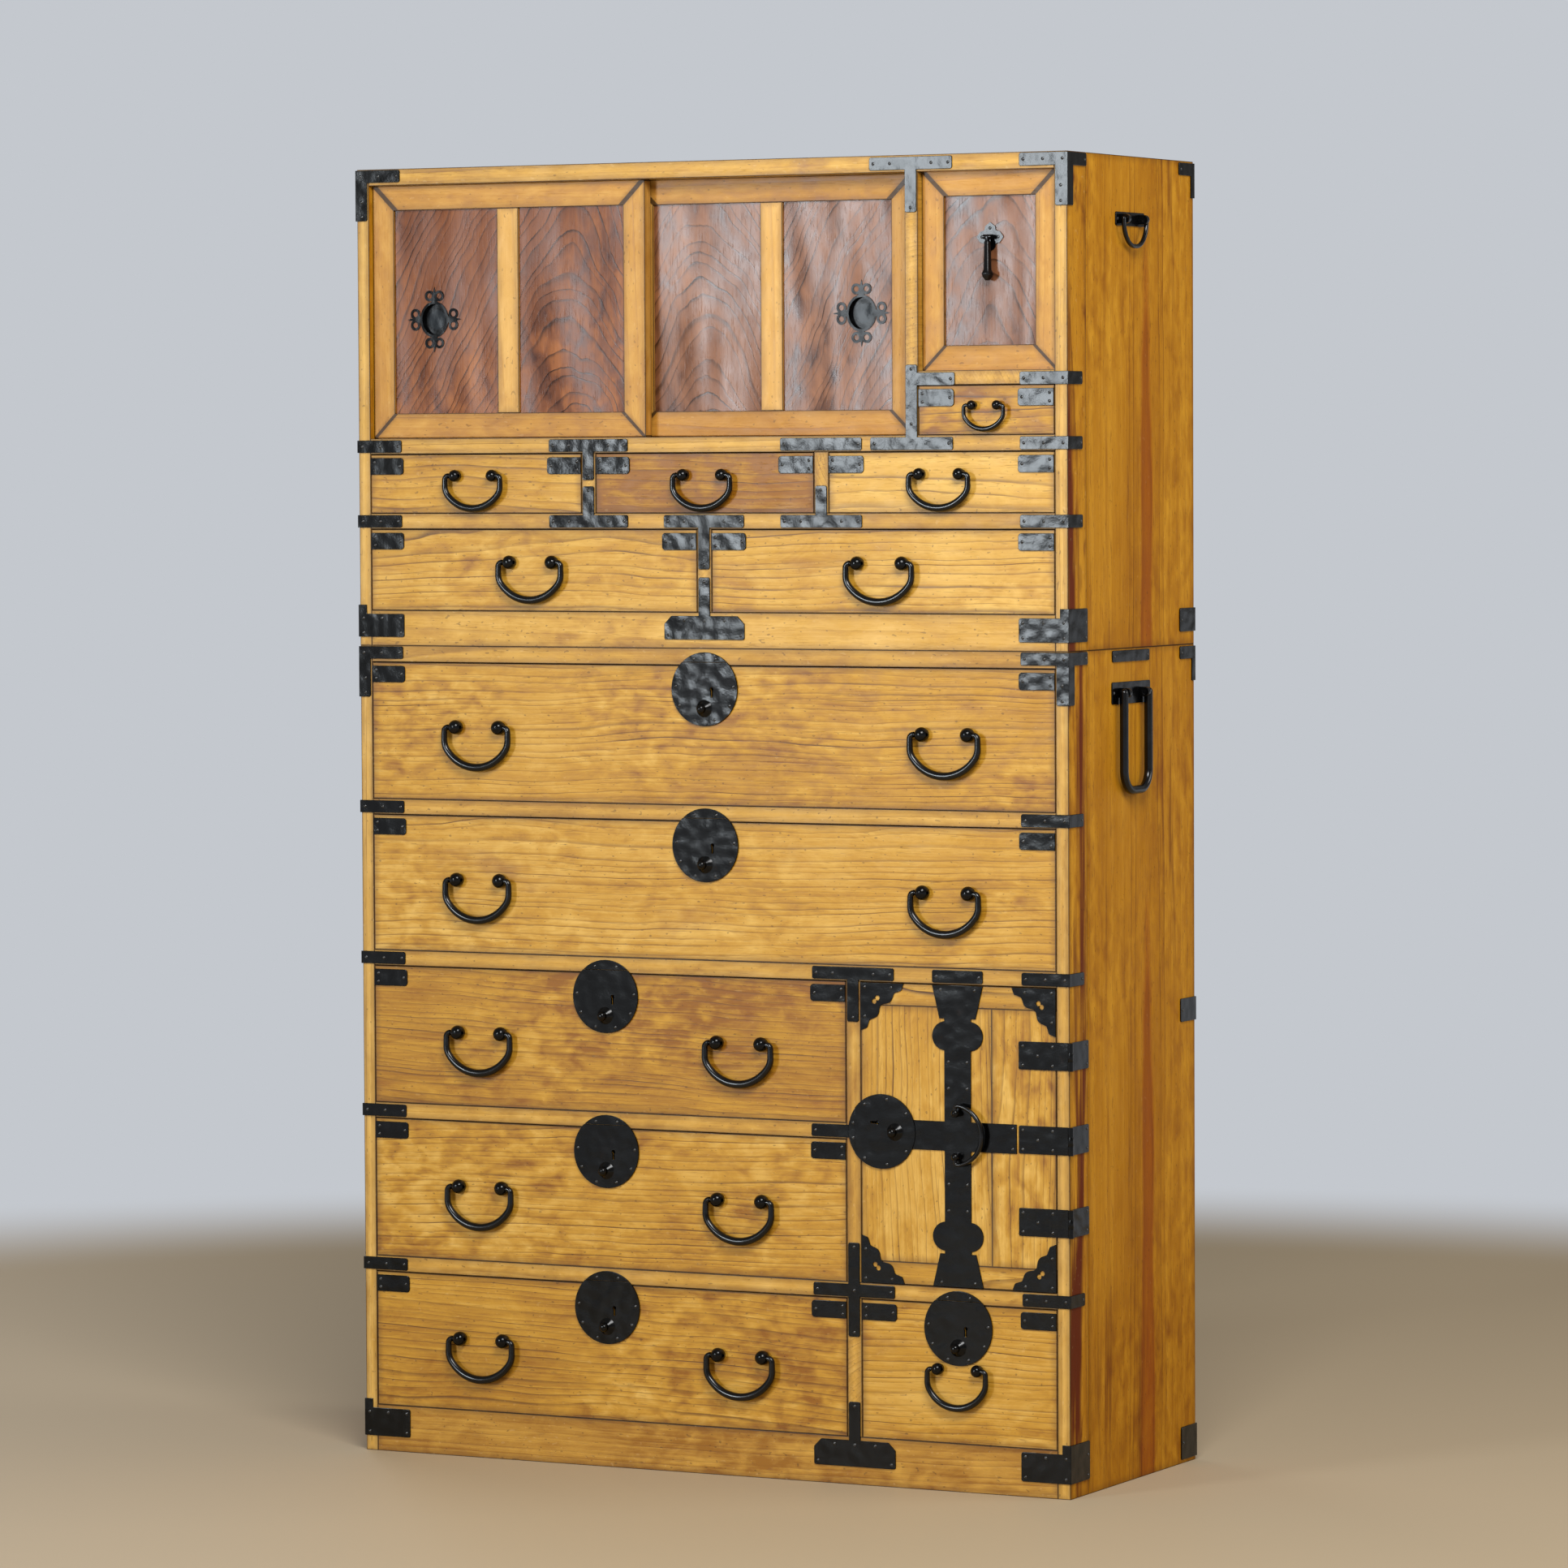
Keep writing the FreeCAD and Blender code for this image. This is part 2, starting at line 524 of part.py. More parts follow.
def eye(x, z, radius, depth=0.0):
    """Ball-headed eye bolt, bored along x for the end of a bail."""
    face = FRONT + depth
    axis_y = face - EYE_AXIS
    middle_y = axis_y + EYE_SINK * radius
    post = rod(V(x, face, z), V(x, middle_y, z), EYE_NECK * radius)
    ball = Part.makeSphere(radius)
    ball.rotate(V(), V(0, 0, 1), -90)       # the sphere's seam to the front, clear of the bore
    ball.translate(V(x, middle_y, z))
    ball = ball.common(block(x - 2 * radius, x + 2 * radius, axis_y - radius, face, z - 2 * radius, z + 2 * radius))
    bore = rod(V(x - radius, axis_y, z), V(x + radius, axis_y, z), BAIL_PIN_R + PIN_CLEAR)
    return merged(post, ball).cut(bore)


def eyes(bail, depth=0.0):
    return [eye(bail.x + side * bail.eyes / 2, bail.z, bail.eye_r, depth) for side in (-1, 1)]


def around(centre, radius, angle):
    """Point of a circle in the plane y = 0, angle measured downwards from +x."""
    return V(centre[0] + radius * math.cos(angle), 0, centre[1] - radius * math.sin(angle))


def bow_wire(bail):
    """Half of the bow's centre line in the plane y = 0, from an eye to the lowest point."""
    low = bail.drop - bail.rod_r
    bend_r, start_x = bail.bend_r, bail.start_x
    half_w = start_x + bend_r
    fall = max(bend_r, bail.shape[0] * low)
    side_r = bail.shape[1] * low
    across, down = half_w - side_r, low - fall
    base_r = (across ** 2 + down ** 2 - side_r ** 2) / (2 * (down - side_r))
    bend_c, side_c, base_c = (start_x, -bend_r), (across, -fall), (0, base_r - low)
    lean = math.atan2(base_c[1] - side_c[1], across)
    quarter = math.pi / 2
    turns = [(bend_c, bend_r, -quarter, 0), (side_c, side_r, 0, lean), (base_c, base_r, lean, quarter)]
    lines = []
    for centre, radius, first, last in turns:
        points = [around(centre, radius, angle) for angle in (first, (first + last) / 2, last)]
        lines.append(Part.Arc(*points).toShape())
    if fall - bend_r > TOUCH:
        lines.insert(1, Part.LineSegment(V(half_w, 0, -bend_r), V(half_w, 0, -fall)).toShape())
    return Part.Wire(lines)


def bow(bail, depth=0.0):
    """Bail with its two end pins, hanging in the plane of its axis."""
    section = Part.Wire(Part.makeCircle(bail.rod_r, V(bail.start_x, 0, 0), V(1, 0, 0)))
    arm = bow_wire(bail).makePipeShell([section], True, True)
    pin = rod(V(bail.start_x + bail.rod_r / 2, 0, 0), V(bail.start_x - BAIL_PIN_L, 0, 0), BAIL_PIN_R)
    half = arm.fuse(pin)
    whole = merged(half, mirrored(half))
    whole.translate(V(bail.x, FRONT + depth - EYE_AXIS, bail.z))
    return whole


# ---------------------------------------------------------------- cases
def back_boards(z0, z1, count):
    """Horizontal back boards between the sides."""
    pitch = (z1 - z0) / count
    return [block(INNER_L, INNER_R, BOARD_BACK, BACK, z0 + i * pitch + (BACK_JOINT if i else 0),
                  z0 + (i + 1) * pitch) for i in range(count)]


def runners(xs, z0, z1):
    return [block(x - RUNNER_W / 2, x + RUNNER_W / 2, FRONT + RAIL_D, BOARD_BACK, z0, z1) for x in xs]


def case_sides(z0, z1):
    """On both sides a front post and, behind it, a side board with its front edge bevelled."""
    seam = FRONT + SIDE_POST_D
    board = Part.makePolygon([V(INNER_R, seam, z0), V(RIGHT - SIDE_BEVEL, seam, z0), V(RIGHT, seam + SIDE_BEVEL, z0),
                              V(RIGHT, BACK, z0), V(INNER_R, BACK, z0), V(INNER_R, seam, z0)])
    board = Part.Face(board).extrude(V(0, 0, z1 - z0))
    return both_sides([block(INNER_R, RIGHT, FRONT, seam, z0, z1), board])


def lower_case():
    """Sides, top, bottom, dust boards, partition, runners and back of the lower case."""
    def board(x0, x1, z0, thickness):
        return block(x0, x1, FRONT, BOARD_BACK, z0, z0 + thickness)

    row5_top, row3_top = ROW5_Z + ROW5_H, ROW3_Z + ROW3_H
    half = RUNNER_W / 2
    pieces = case_sides(0, LOWER_TOP) + [
        board(INNER_L, INNER_R, LOWER_TOP - TOP_T, TOP_T),
        board(INNER_L, INNER_R, ROW2_Z + ROW2_H, BOARD_T),
        board(INNER_L, INNER_R, row3_top, BOARD_T),
        board(INNER_L, POST_X0, ROW4_Z + ROW4_H, BOARD_T),
        board(INNER_L, INNER_R, row5_top, BOARD_T),
        block(POST_X0, POST_X1, FRONT, BOARD_BACK, ROW4_Z, row3_top),
        block(POST_X0, POST_X1, FRONT, BOARD_BACK, ROW5_Z, row5_top),
        block(INNER_L, INNER_R, FRONT, FRONT + RAIL_D, 0, BASE_H),
        block(INNER_L, INNER_R, FRONT + RAIL_D, BOARD_BACK, 0, UNDER_T),
    ]
    pieces += runners((INNER_L + half, INNER_R - half), UNDER_T, BASE_H)
    pieces.append(block(POST_X0 - half, POST_X1 + half, FRONT + RAIL_D, BOARD_BACK, UNDER_T, BASE_H))
    return pieces + back_boards(0, LOWER_TOP, LOWER_BACKS)


def track(recess, width, z0, z1, x0, x1):
    """Groove for a door tongue that lies in the middle of a door's thickness."""
    middle = FRONT + recess + DOOR_T / 2
    half = width / 2 + TRACK_CLEAR
    return block(x0, x1, middle - half, middle + half, z0, z1)


def upper_case():
    """Sides, top, bottom, shelves, dividers, runners and back of the upper case."""
    def board(x0, x1, z0, thickness, y0=FRONT):
        return block(x0, x1, y0, BOARD_BACK, z0, z0 + thickness)

    short_top, long_top = DOOR_Z - BOARD_T, SHORT_ROW_Z - BOARD_T
    track_y = FRONT + TRACK_D
    sill = block(INNER_L, INNER_R, FRONT, track_y, short_top, DOOR_Z)
    head = block(INNER_L, INNER_R, FRONT, track_y, DOOR_TOP, UPPER_TOP)
    for recess in (DOOR_RECESS, REAR_TRACK):
        sill = sill.cut(track(recess, TONGUE_T, DOOR_Z - SILL_TRACK, DOOR_Z, INNER_L, DIVIDER_X0))
        head = head.cut(track(recess, TONGUE_T, DOOR_TOP, DOOR_TOP + HEAD_TRACK, INNER_L, DIVIDER_X0))
    head = head.cut(track(LIFT_RECESS, DOOR_T, DOOR_TOP, DOOR_TOP + LIFT_HEAD_TRACK, DIVIDER_X1, INNER_R))
    lift_sill = board(DIVIDER_X1, INNER_R, SMALL_TOP, SMALL_BOARD_T)
    lift_sill = lift_sill.cut(track(LIFT_RECESS, DOOR_T, LIFT_Z - SILL_TRACK, LIFT_Z, DIVIDER_X1, INNER_R))
    half = RUNNER_W / 2
    pieces = case_sides(LOWER_TOP, UPPER_TOP) + [
        sill,
        head,
        board(INNER_L, INNER_R, short_top, BOARD_T, track_y),
        board(INNER_L, INNER_R, DOOR_TOP, TOP_T, track_y),
        board(INNER_L, INNER_R, long_top, BOARD_T),
        block(DIVIDER_X0, DIVIDER_X1, FRONT, BOARD_BACK, DOOR_Z, DOOR_TOP),
        lift_sill,
        block(-POST_T / 2, POST_T / 2, FRONT, BOARD_BACK, LONG_ROW_Z, long_top),
        block(INNER_L, INNER_R, FRONT, FRONT + RAIL_D, LOWER_TOP, LONG_ROW_Z),
        block(INNER_L, INNER_R, FRONT + RAIL_D, BOARD_BACK, LOWER_TOP, LOWER_TOP + UNDER_T),
    ]
    for x0 in (INNER_L + SHORT_W, INNER_R - SHORT_W - POST_T):
        pieces.append(block(x0, x0 + POST_T, FRONT, BOARD_BACK, SHORT_ROW_Z, short_top))
    pieces += runners((INNER_L + half, 0, INNER_R - half), LOWER_TOP + UNDER_T, LONG_ROW_Z)
    return pieces + back_boards(LOWER_TOP, UPPER_TOP, UPPER_BACKS)


# ---------------------------------------------------------------- iron on the cases
def bent(front_sheet, side_sheet):
    """A front sheet and a side sheet joined round the right-hand corner."""
    return merged(front_sheet, on_side(side_sheet))


def strap(board_top):
    """Strap across a board's right end and round the corner, with its nails."""
    z1 = board_top - STRAP_DROP
    z0 = z1 - STRAP_H
    x0 = RIGHT - STRAP_LEN
    middle = (z0 + z1) / 2
    front_sheet = plate(strip(x0, RIGHT + IRON_T, z0, z1, STRAP_R, 0))
    side_sheet = plate(strip(FRONT, FRONT + STRAP_SIDE, z0, z1, 0, STRAP_R))
    marks = [(x0 + NAIL_MARGIN, middle), (RIGHT - STRAP_LEN / 2, middle), (RIGHT - NAIL_MARGIN, middle)]
    side_mark = on_side(nail(FRONT + STRAP_SIDE - NAIL_MARGIN, middle))
    return [bent(front_sheet, side_sheet)] + nails(marks) + [side_mark]


def top_corner(case_top):
    """L-shaped iron on the front, with a matching leaf on the side."""
    z1 = case_top - CORNER_DROP
    z0 = z1 - STRAP_H
    stem_z = case_top - CORNER_STEM_H
    x0, stem_x = RIGHT - STRAP_LEN, RIGHT - CORNER_STEM_W
    front_sheet = plate([(x0, z0, STRAP_R), (stem_x, z0), (stem_x, stem_z, STRAP_R),
                         (RIGHT + IRON_T, stem_z), (RIGHT + IRON_T, z1), (x0, z1, STRAP_R)])
    side_sheet = plate([(FRONT, stem_z), (FRONT + CORNER_STEM_W, stem_z, STRAP_R),
                        (FRONT + CORNER_STEM_W, z0), (FRONT + CORNER_SIDE, z0, STRAP_R),
                        (FRONT + CORNER_SIDE, z1, STRAP_R), (FRONT, z1)])
    middle = (z0 + z1) / 2
    marks = [(x0 + NAIL_MARGIN, middle), (RIGHT - STRAP_LEN / 2, middle), (RIGHT - NAIL_MARGIN, middle),
             (RIGHT - CORNER_STEM_W / 2, (z0 + stem_z) / 2),
             (RIGHT - CORNER_STEM_W / 2, stem_z + NAIL_MARGIN)]
    side_mark = on_side(nail(FRONT + CORNER_SIDE - NAIL_MARGIN, middle))
    return [bent(front_sheet, side_sheet)] + nails(marks) + [side_mark]


def foot_corner(rail_top, height):
    """Foot plate of a case, with a narrow step at the corner."""
    z1 = rail_top - FOOT_DROP
    z0, top = z1 - height, z1 + FOOT_RISE
    x0, step_x = RIGHT - FOOT_LEN, RIGHT - FOOT_STEP_W
    front_sheet = plate([(x0, z0, STRAP_R), (RIGHT + IRON_T, z0), (RIGHT + IRON_T, top), (step_x, top),
                         (step_x, z1), (x0, z1, STRAP_R)])
    side_sheet = plate(strip(FRONT, FRONT + CORNER_SIDE, z0, top, 0, STRAP_R))
    low, high = z0 + NAIL_MARGIN, z1 - NAIL_MARGIN
    marks = [(x0 + NAIL_MARGIN, low), (x0 + NAIL_MARGIN, high), (RIGHT - FOOT_LEN / 2, high),
             (RIGHT - NAIL_MARGIN, low), (RIGHT - NAIL_MARGIN, high)]
    side_marks = [on_side(nail(FRONT + CORNER_SIDE - NAIL_MARGIN, z)) for z in (low, high)]
    return [bent(front_sheet, side_sheet)] + nails(marks) + side_marks


def rear_iron(z0, height, stem_end=None):
    """Iron round the rear right corner; with stem_end, a narrow stem runs down the edge."""
    z1 = z0 + height
    y0 = BACK - REAR_LEN
    leaves = [on_side(plate(strip(y0, BACK + IRON_T, z0, z1, STRAP_R, 0))),
              block(RIGHT - REAR_BACK, RIGHT + IRON_T, BACK, BACK + IRON_T, z0, z1)]
    if stem_end is not None:
        leaves.append(on_side(plate(strip(BACK - REAR_STEM_W, BACK + IRON_T, stem_end, z1))))
    side_mark = on_side(nail(y0 + NAIL_MARGIN, (z0 + z1) / 2))
    rear_mark = dome(V(RIGHT - REAR_BACK + NAIL_MARGIN, BACK + IRON_T, (z0 + z1) / 2), V(0, 1, 0),
                     NAIL_R, NAIL_H)
    return [merged(*leaves), side_mark, rear_mark]


def plain_strap(x0, x1, board_top):
    """Straight strap on a board, with a nail at each end."""
    z1 = board_top - STRAP_DROP
    z0 = z1 - STRAP_H
    middle = (z0 + z1) / 2
    marks = [(x0 + NAIL_MARGIN, middle), (x1 - NAIL_MARGIN, middle)]
    return [plate(strip(x0, x1, z0, z1, STRAP_R, STRAP_R))] + nails(marks)


def tee(cx, board_top, stem_end):
    """Strap on a board with a stem that runs down or up the upright at cx."""
    z1 = board_top - STRAP_DROP
    z0 = z1 - STRAP_H
    half, stem = TEE_W / 2, TEE_STEM_W / 2
    if stem_end < z0:
        corners = [(cx - half, z1, STRAP_R), (cx - half, z0, STRAP_R), (cx - stem, z0),
                   (cx - stem, stem_end, STRAP_R), (cx + stem, stem_end, STRAP_R), (cx + stem, z0),
                   (cx + half, z0, STRAP_R), (cx + half, z1, STRAP_R)]
        last = stem_end + NAIL_MARGIN
    else:
        corners = [(cx - half, z0, STRAP_R), (cx + half, z0, STRAP_R), (cx + half, z1, STRAP_R),
                   (cx + stem, z1), (cx + stem, stem_end, STRAP_R), (cx - stem, stem_end, STRAP_R),
                   (cx - stem, z1), (cx - half, z1, STRAP_R)]
        last = stem_end - NAIL_MARGIN
    middle = (z0 + z1) / 2
    marks = [(cx - half + NAIL_MARGIN, middle), (cx + half - NAIL_MARGIN, middle),
             (cx - half / 2, middle), (cx + half / 2, middle), (cx, last)]
    return [plate(corners)] + nails(marks)


def foot_tee(cx, rail_top, height, stem_end):
    """Broad plate on a bottom rail, upper corners cut off, with a stem up the upright."""
    z1 = rail_top - FOOT_DROP
    z0, clip = z1 - height, FOOT_CLIP
    half, stem = TEE_W / 2, TEE_STEM_W / 2
    corners = [(cx - half, z0, STRAP_R), (cx + half, z0, STRAP_R), (cx + half, z1 - clip),
               (cx + half - clip, z1), (cx + stem, z1), (cx + stem, stem_end, STRAP_R),
               (cx - stem, stem_end, STRAP_R), (cx - stem, z1), (cx - half + clip, z1),
               (cx - half, z1 - clip)]
    low, high = z0 + NAIL_MARGIN, z1 - NAIL_MARGIN
    marks = [(cx - half + NAIL_MARGIN, low), (cx + half - NAIL_MARGIN, low), (cx, high),
             (cx - half / 2, high), (cx + half / 2, high), (cx, stem_end - NAIL_MARGIN)]
    return [plate(corners)] + nails(marks)


def crossed(cx, board_top, low, high):
    """Strap on a board crossed by an upright strap on the partition."""
    z1 = board_top - STRAP_DROP
    z0 = z1 - STRAP_H
    half, stem_half = TEE_W / 2, TEE_STEM_W / 2
    bar = plate(strip(cx - half, cx + half, z0, z1, STRAP_R, STRAP_R))
    stem = plate(strip(cx - stem_half, cx + stem_half, low, high, STRAP_R, STRAP_R))
    middle = (z0 + z1) / 2
    marks = [(cx - half + NAIL_MARGIN, middle), (cx + half - NAIL_MARGIN, middle),
             (cx, low + NAIL_MARGIN), (cx, high - NAIL_MARGIN), (cx, middle)]
    return [merged(bar, stem)] + nails(marks)


def divider_bracket():
    """Iron on the divider beside the little upper drawer, with a branch on its top board."""
    x0 = DIVIDER_X0 + (DIVIDER_T - TEE_STEM_W) / 2
    x1 = x0 + TEE_STEM_W
    branch_x = DIVIDER_X1 + BRANCH_LEN
    branch_z = LIFT_Z - STRAP_DROP
    foot_z = DOOR_Z - STRAP_DROP
    top = LIFT_Z + CORNER_STEM_W / 2
    half = TEE_W / 2
    cx = (x0 + x1) / 2
    corners = [(cx - half, foot_z - STRAP_H, STRAP_R), (cx + half, foot_z - STRAP_H, STRAP_R),
               (cx + half, foot_z, STRAP_R), (x1, foot_z), (x1, branch_z - STRAP_H),
               (branch_x, branch_z - STRAP_H, STRAP_R), (branch_x, branch_z, STRAP_R), (x1, branch_z),
               (x1, top, STRAP_R), (x0, top, STRAP_R), (x0, foot_z), (cx - half, foot_z, STRAP_R)]
    middle = foot_z - STRAP_H / 2
    marks = [(cx - half + NAIL_MARGIN, middle), (cx + half - NAIL_MARGIN, middle), (cx, top - NAIL_MARGIN),
             (cx, foot_z + STRAP_H), (branch_x - NAIL_MARGIN, branch_z - STRAP_H / 2)]
    return [plate(corners)] + nails(marks)


def side_plate(width, height, z, marks_at):
    """Backing plate on the right side, with nails at its ends; marks_at is counted from its middle."""
    z0, z1 = z - height / 2, z + height / 2
    sheet = on_side(plate(strip(HANDLE_Y - width / 2, HANDLE_Y + width / 2, z0, z1, STRAP_R, STRAP_R)))
    return [sheet] + [on_side(nail(HANDLE_Y + y, z)) for y in marks_at]


def ear(y, z, pin_r):
    """Lug on a side plate, y from its middle, bored along y for the end of a swinging handle."""
    axis_x, half = RIGHT + HANDLE_OUT, EAR_T / 2
    y += HANDLE_Y
    lug = block(RIGHT + IRON_T, axis_x, y - half, y + half, z - EAR_R, z + EAR_R)
    head = rod(V(axis_x, y - half, z), V(axis_x, y + half, z), EAR_R)
    bore = rod(V(axis_x, y - EAR_T, z), V(axis_x, y + EAR_T, z), pin_r + PIN_CLEAR)
    return merged(lug, head).cut(bore)


def handle(half_w, drop, rod_r, corner_r, ear_y, pin_r, z):
    """U-shaped handle on the right side, hung on inward pins, in a plane across its axis."""
    low = -drop + rod_r
    side = V(half_w, 0, 0)
    bend_top, bend_low = V(half_w, 0, low + corner_r), V(half_w - corner_r, 0, low)
    inset = corner_r * (1 - math.sqrt(0.5))
    bend_mid = V(half_w - inset, 0, low + inset)
    parts = [Part.LineSegment(side, bend_top).toShape(), Part.Arc(bend_top, bend_mid, bend_low).toShape()]
    if half_w - corner_r > TOUCH:
        parts.append(Part.LineSegment(bend_low, V(0, 0, low)).toShape())
    section = Part.Wire(Part.makeCircle(rod_r, side, V(0, 0, 1)))
    arm = Part.Wire(parts).makePipeShell([section], True, True)
    tip = dome(side, V(0, 0, 1), rod_r, rod_r)
    pin = rod(V(half_w, 0, 0), V(ear_y - EAR_T / 2, 0, 0), pin_r)
    half = merged(arm, tip, pin)
    whole = merged(half, mirrored(half))
    whole.rotate(V(0, 0, 0), V(0, 0, 1), 90)
    whole.translate(V(RIGHT + HANDLE_OUT, HANDLE_Y, z))
    return whole


def ring_handle():
    half_w = RING_EYES / 2
    bend_r = half_w - RING_ROD_R
    return handle(half_w, RING_DROP, RING_ROD_R, bend_r, RING_EAR_Y, RING_PIN_R, RING_Z)


def yoke_handle():
    half_w = YOKE_ARMS / 2
    return handle(half_w, YOKE_DROP, YOKE_ROD_R, YOKE_CORNER_R, YOKE_EAR_Y, YOKE_PIN_R, YOKE_Z)


def hinge_pieces(z):
    """Door leaf, case leaf and pin of one strap hinge round the front right corner."""
    z0, z1 = z - HINGE_H / 2, z + HINGE_H / 2
    third = HINGE_H / 3
    mid0, mid1 = z0 + third, z1 - third
    edge_x, edge_y = RIGHT - LEAF_GAP, FRONT + LEAF_GAP
    barrel = (V(HINGE_X, HINGE_Y, mid0 + KNUCKLE_GAP / 2), V(HINGE_X, HINGE_Y, mid1 - KNUCKLE_GAP / 2))
    bore = rod(V(HINGE_X, HINGE_Y, z0 - OVER), V(HINGE_X, HINGE_Y, z1 + OVER), HINGE_PIN_R + PIN_CLEAR)
    leaf = plate(strip(RIGHT - HINGE_LEN, edge_x, z0, z1, PLATE_R / 2, 0))
    tab = block(edge_x, HINGE_X, FRONT - IRON_T, FRONT, barrel[0].z, barrel[1].z)
    door_leaf = merged(leaf, tab, rod(barrel[0], barrel[1], KNUCKLE_R)).cut(bore)
    case_leaf = on_side(plate(strip(edge_y, FRONT + HINGE_SIDE, z0, z1, 0, PLATE_R / 2)))
    for low, high in ((z0, mid0 - KNUCKLE_GAP / 2), (mid1 + KNUCKLE_GAP / 2, z1)):
        tab = block(RIGHT, RIGHT + IRON_T, HINGE_Y, edge_y, low, high)
        knuckle = rod(V(HINGE_X, HINGE_Y, low), V(HINGE_X, HINGE_Y, high), KNUCKLE_R)
        case_leaf = merged(case_leaf, tab, knuckle)
    case_leaf = case_leaf.cut(bore)
    pin = rod(V(HINGE_X, HINGE_Y, z0), V(HINGE_X, HINGE_Y, z1), HINGE_PIN_R)
    low, high = z0 + NAIL_MARGIN, z1 - NAIL_MARGIN
    first, last = RIGHT - HINGE_LEN + NAIL_MARGIN, INNER_R - NAIL_MARGIN
    door_marks = nails([(first, low), (first, high), ((first + last) / 2, z), (last, low), (last, high)])
    side_marks = [on_side(nail(FRONT + HINGE_SIDE - NAIL_MARGIN, mark)) for mark in (low, high)]
    return [door_leaf] + door_marks, [case_leaf, pin] + side_marks


def lower_case_iron():
    paired = top_corner(LOWER_TOP) + foot_corner(BASE_H, FOOT_H)
    for board_top in (ROW1_Z, ROW2_Z, ROW4_Z):
        paired += strap(board_top)
    paired += rear_iron(LOWER_TOP - STRAP_DROP - STRAP_H, STRAP_H, LOWER_TOP - REAR_LEN)
    paired += rear_iron(REAR_MID_Z - REAR_STRAP_H / 2, REAR_STRAP_H)
    paired += rear_iron(REAR_FOOT_UP, REAR_FOOT_H)
    yoke_mark = YOKE_PLATE_W / 2 - NAIL_MARGIN
    paired += side_plate(YOKE_PLATE_W, YOKE_PLATE_H, YOKE_Z, (-yoke_mark, yoke_mark))
    keeper_mark = KEEPER_W / 2 - NAIL_MARGIN
    keeper_z = LOWER_TOP - STRAP_DROP - KEEPER_H / 2
    paired += side_plate(KEEPER_W, KEEPER_H, keeper_z, (-keeper_mark, keeper_mark))
    paired += [ear(y, YOKE_Z, YOKE_PIN_R) for y in (-YOKE_EAR_Y, YOKE_EAR_Y)]
    pieces = both_sides(paired)
    pieces += [mirrored(shape) for shape in strap(ROW3_Z)]
    cx = (POST_X0 + POST_X1) / 2
    pieces += tee(cx, ROW2_Z, ROW2_Z - HANG_STEM)
    pieces += foot_tee(cx, BASE_H, FOOT_TEE_H, BASE_H + FOOT_STEM)
    pieces += crossed(cx, ROW4_Z, ROW4_Z - CROSS_DOWN, ROW4_Z + CROSS_UP)
    to_lock = plain_strap(POST_X0 - PLATE_W, DOOR_LOCK_X - LOCK_REACH, ROW3_Z)
    pieces.append(to_lock[0].cut(disc(DOOR_LOCK_X, DOOR_LOCK_Z, IRON_T)))
    pieces.append(to_lock[1])
    pieces += plain_strap(BAR_X - VASE_W / 2, BAR_X + VASE_W / 2, ROW2_Z)
    for name in LOCKED:
        pieces += lock_flap(name)
    pieces += door_lock_flap()
    for z in (HINGE_TOP_Z, HINGE_MID_Z, HINGE_LOW_Z):
        pieces += hinge_pieces(z)[1]
    return pieces


def upper_case_iron():
    paired = top_corner(UPPER_TOP) + foot_corner(LONG_ROW_Z, FOOT_SHORT_H)
    paired += strap(DOOR_Z) + strap(SHORT_ROW_Z)
    paired += rear_iron(UPPER_TOP - STRAP_DROP - STRAP_H, STRAP_H, UPPER_TOP - REAR_LEN)
    paired += rear_iron(LOWER_TOP + REAR_LOW_UP, REAR_STRAP_H)
    ring_mark = RING_PLATE_W / 2 - NAIL_MARGIN
    paired += side_plate(RING_PLATE_W, RING_PLATE_H, RING_Z, (-ring_mark, ring_mark))
    paired += [ear(y, RING_Z, RING_PIN_R) for y in (-RING_EAR_Y, RING_EAR_Y)]
    pieces = both_sides(paired) + strap(LIFT_Z) + divider_bracket()
    pieces += tee((DIVIDER_X0 + DIVIDER_X1) / 2, UPPER_TOP, UPPER_TOP - HANG_STEM)
    first, second = INNER_L + SHORT_W + POST_T / 2, INNER_R - SHORT_W - POST_T / 2
    short_top = SHORT_ROW_Z + SHORT_ROW_H
    pieces += tee(first, DOOR_Z, short_top - SHORT_STEM)
    pieces += plain_strap(second - TEE_W / 2, second + TEE_W / 2, DOOR_Z)
    for cx in (first, second):
        pieces += tee(cx, SHORT_ROW_Z, SHORT_ROW_Z + SHORT_STEM)
    pieces += tee(0, SHORT_ROW_Z, SHORT_ROW_Z - HANG_STEM)
    return pieces + foot_tee(0, LONG_ROW_Z, FOOT_SHORT_H, LONG_ROW_Z + FOOT_STEM)


# ---------------------------------------------------------------- hinged door
def door_lock_case():
    """Closed iron box let into the back of the hinged door, at its free edge."""
    y1 = FRONT + HINGED_T
    return block(HINGED_X0, HINGED_X0 + LOCK_CASE_H, y1 - LOCK_CASE_T, y1,
                 DOOR_LOCK_Z - LOCK_CASE_W / 2, DOOR_LOCK_Z + LOCK_CASE_W / 2)


def door_key_cut():
    return key_cut(DOOR_LOCK_X + DOOR_KEY_SIDE, DOOR_LOCK_Z + DOOR_KEY_RISE, HINGED_T, False)


def hinged_door():
    """Two upright boards between cross cleats."""
    y1 = FRONT + HINGED_T
    seam = HINGED_X0 + DOOR_BOARD_W
    low, high = HINGED_Z0 + CLEAT_H, HINGED_Z1 - CLEAT_H
    left = block(HINGED_X0, seam, FRONT, y1, low, high)
    return [
        left.cut(door_lock_case()).cut(door_key_cut()),
        block(seam, HINGED_X1, FRONT, y1, low, high),
        block(HINGED_X0, HINGED_X1, FRONT, y1, HINGED_Z0, low),
        block(HINGED_X0, HINGED_X1, FRONT, y1, high, HINGED_Z1),
    ]


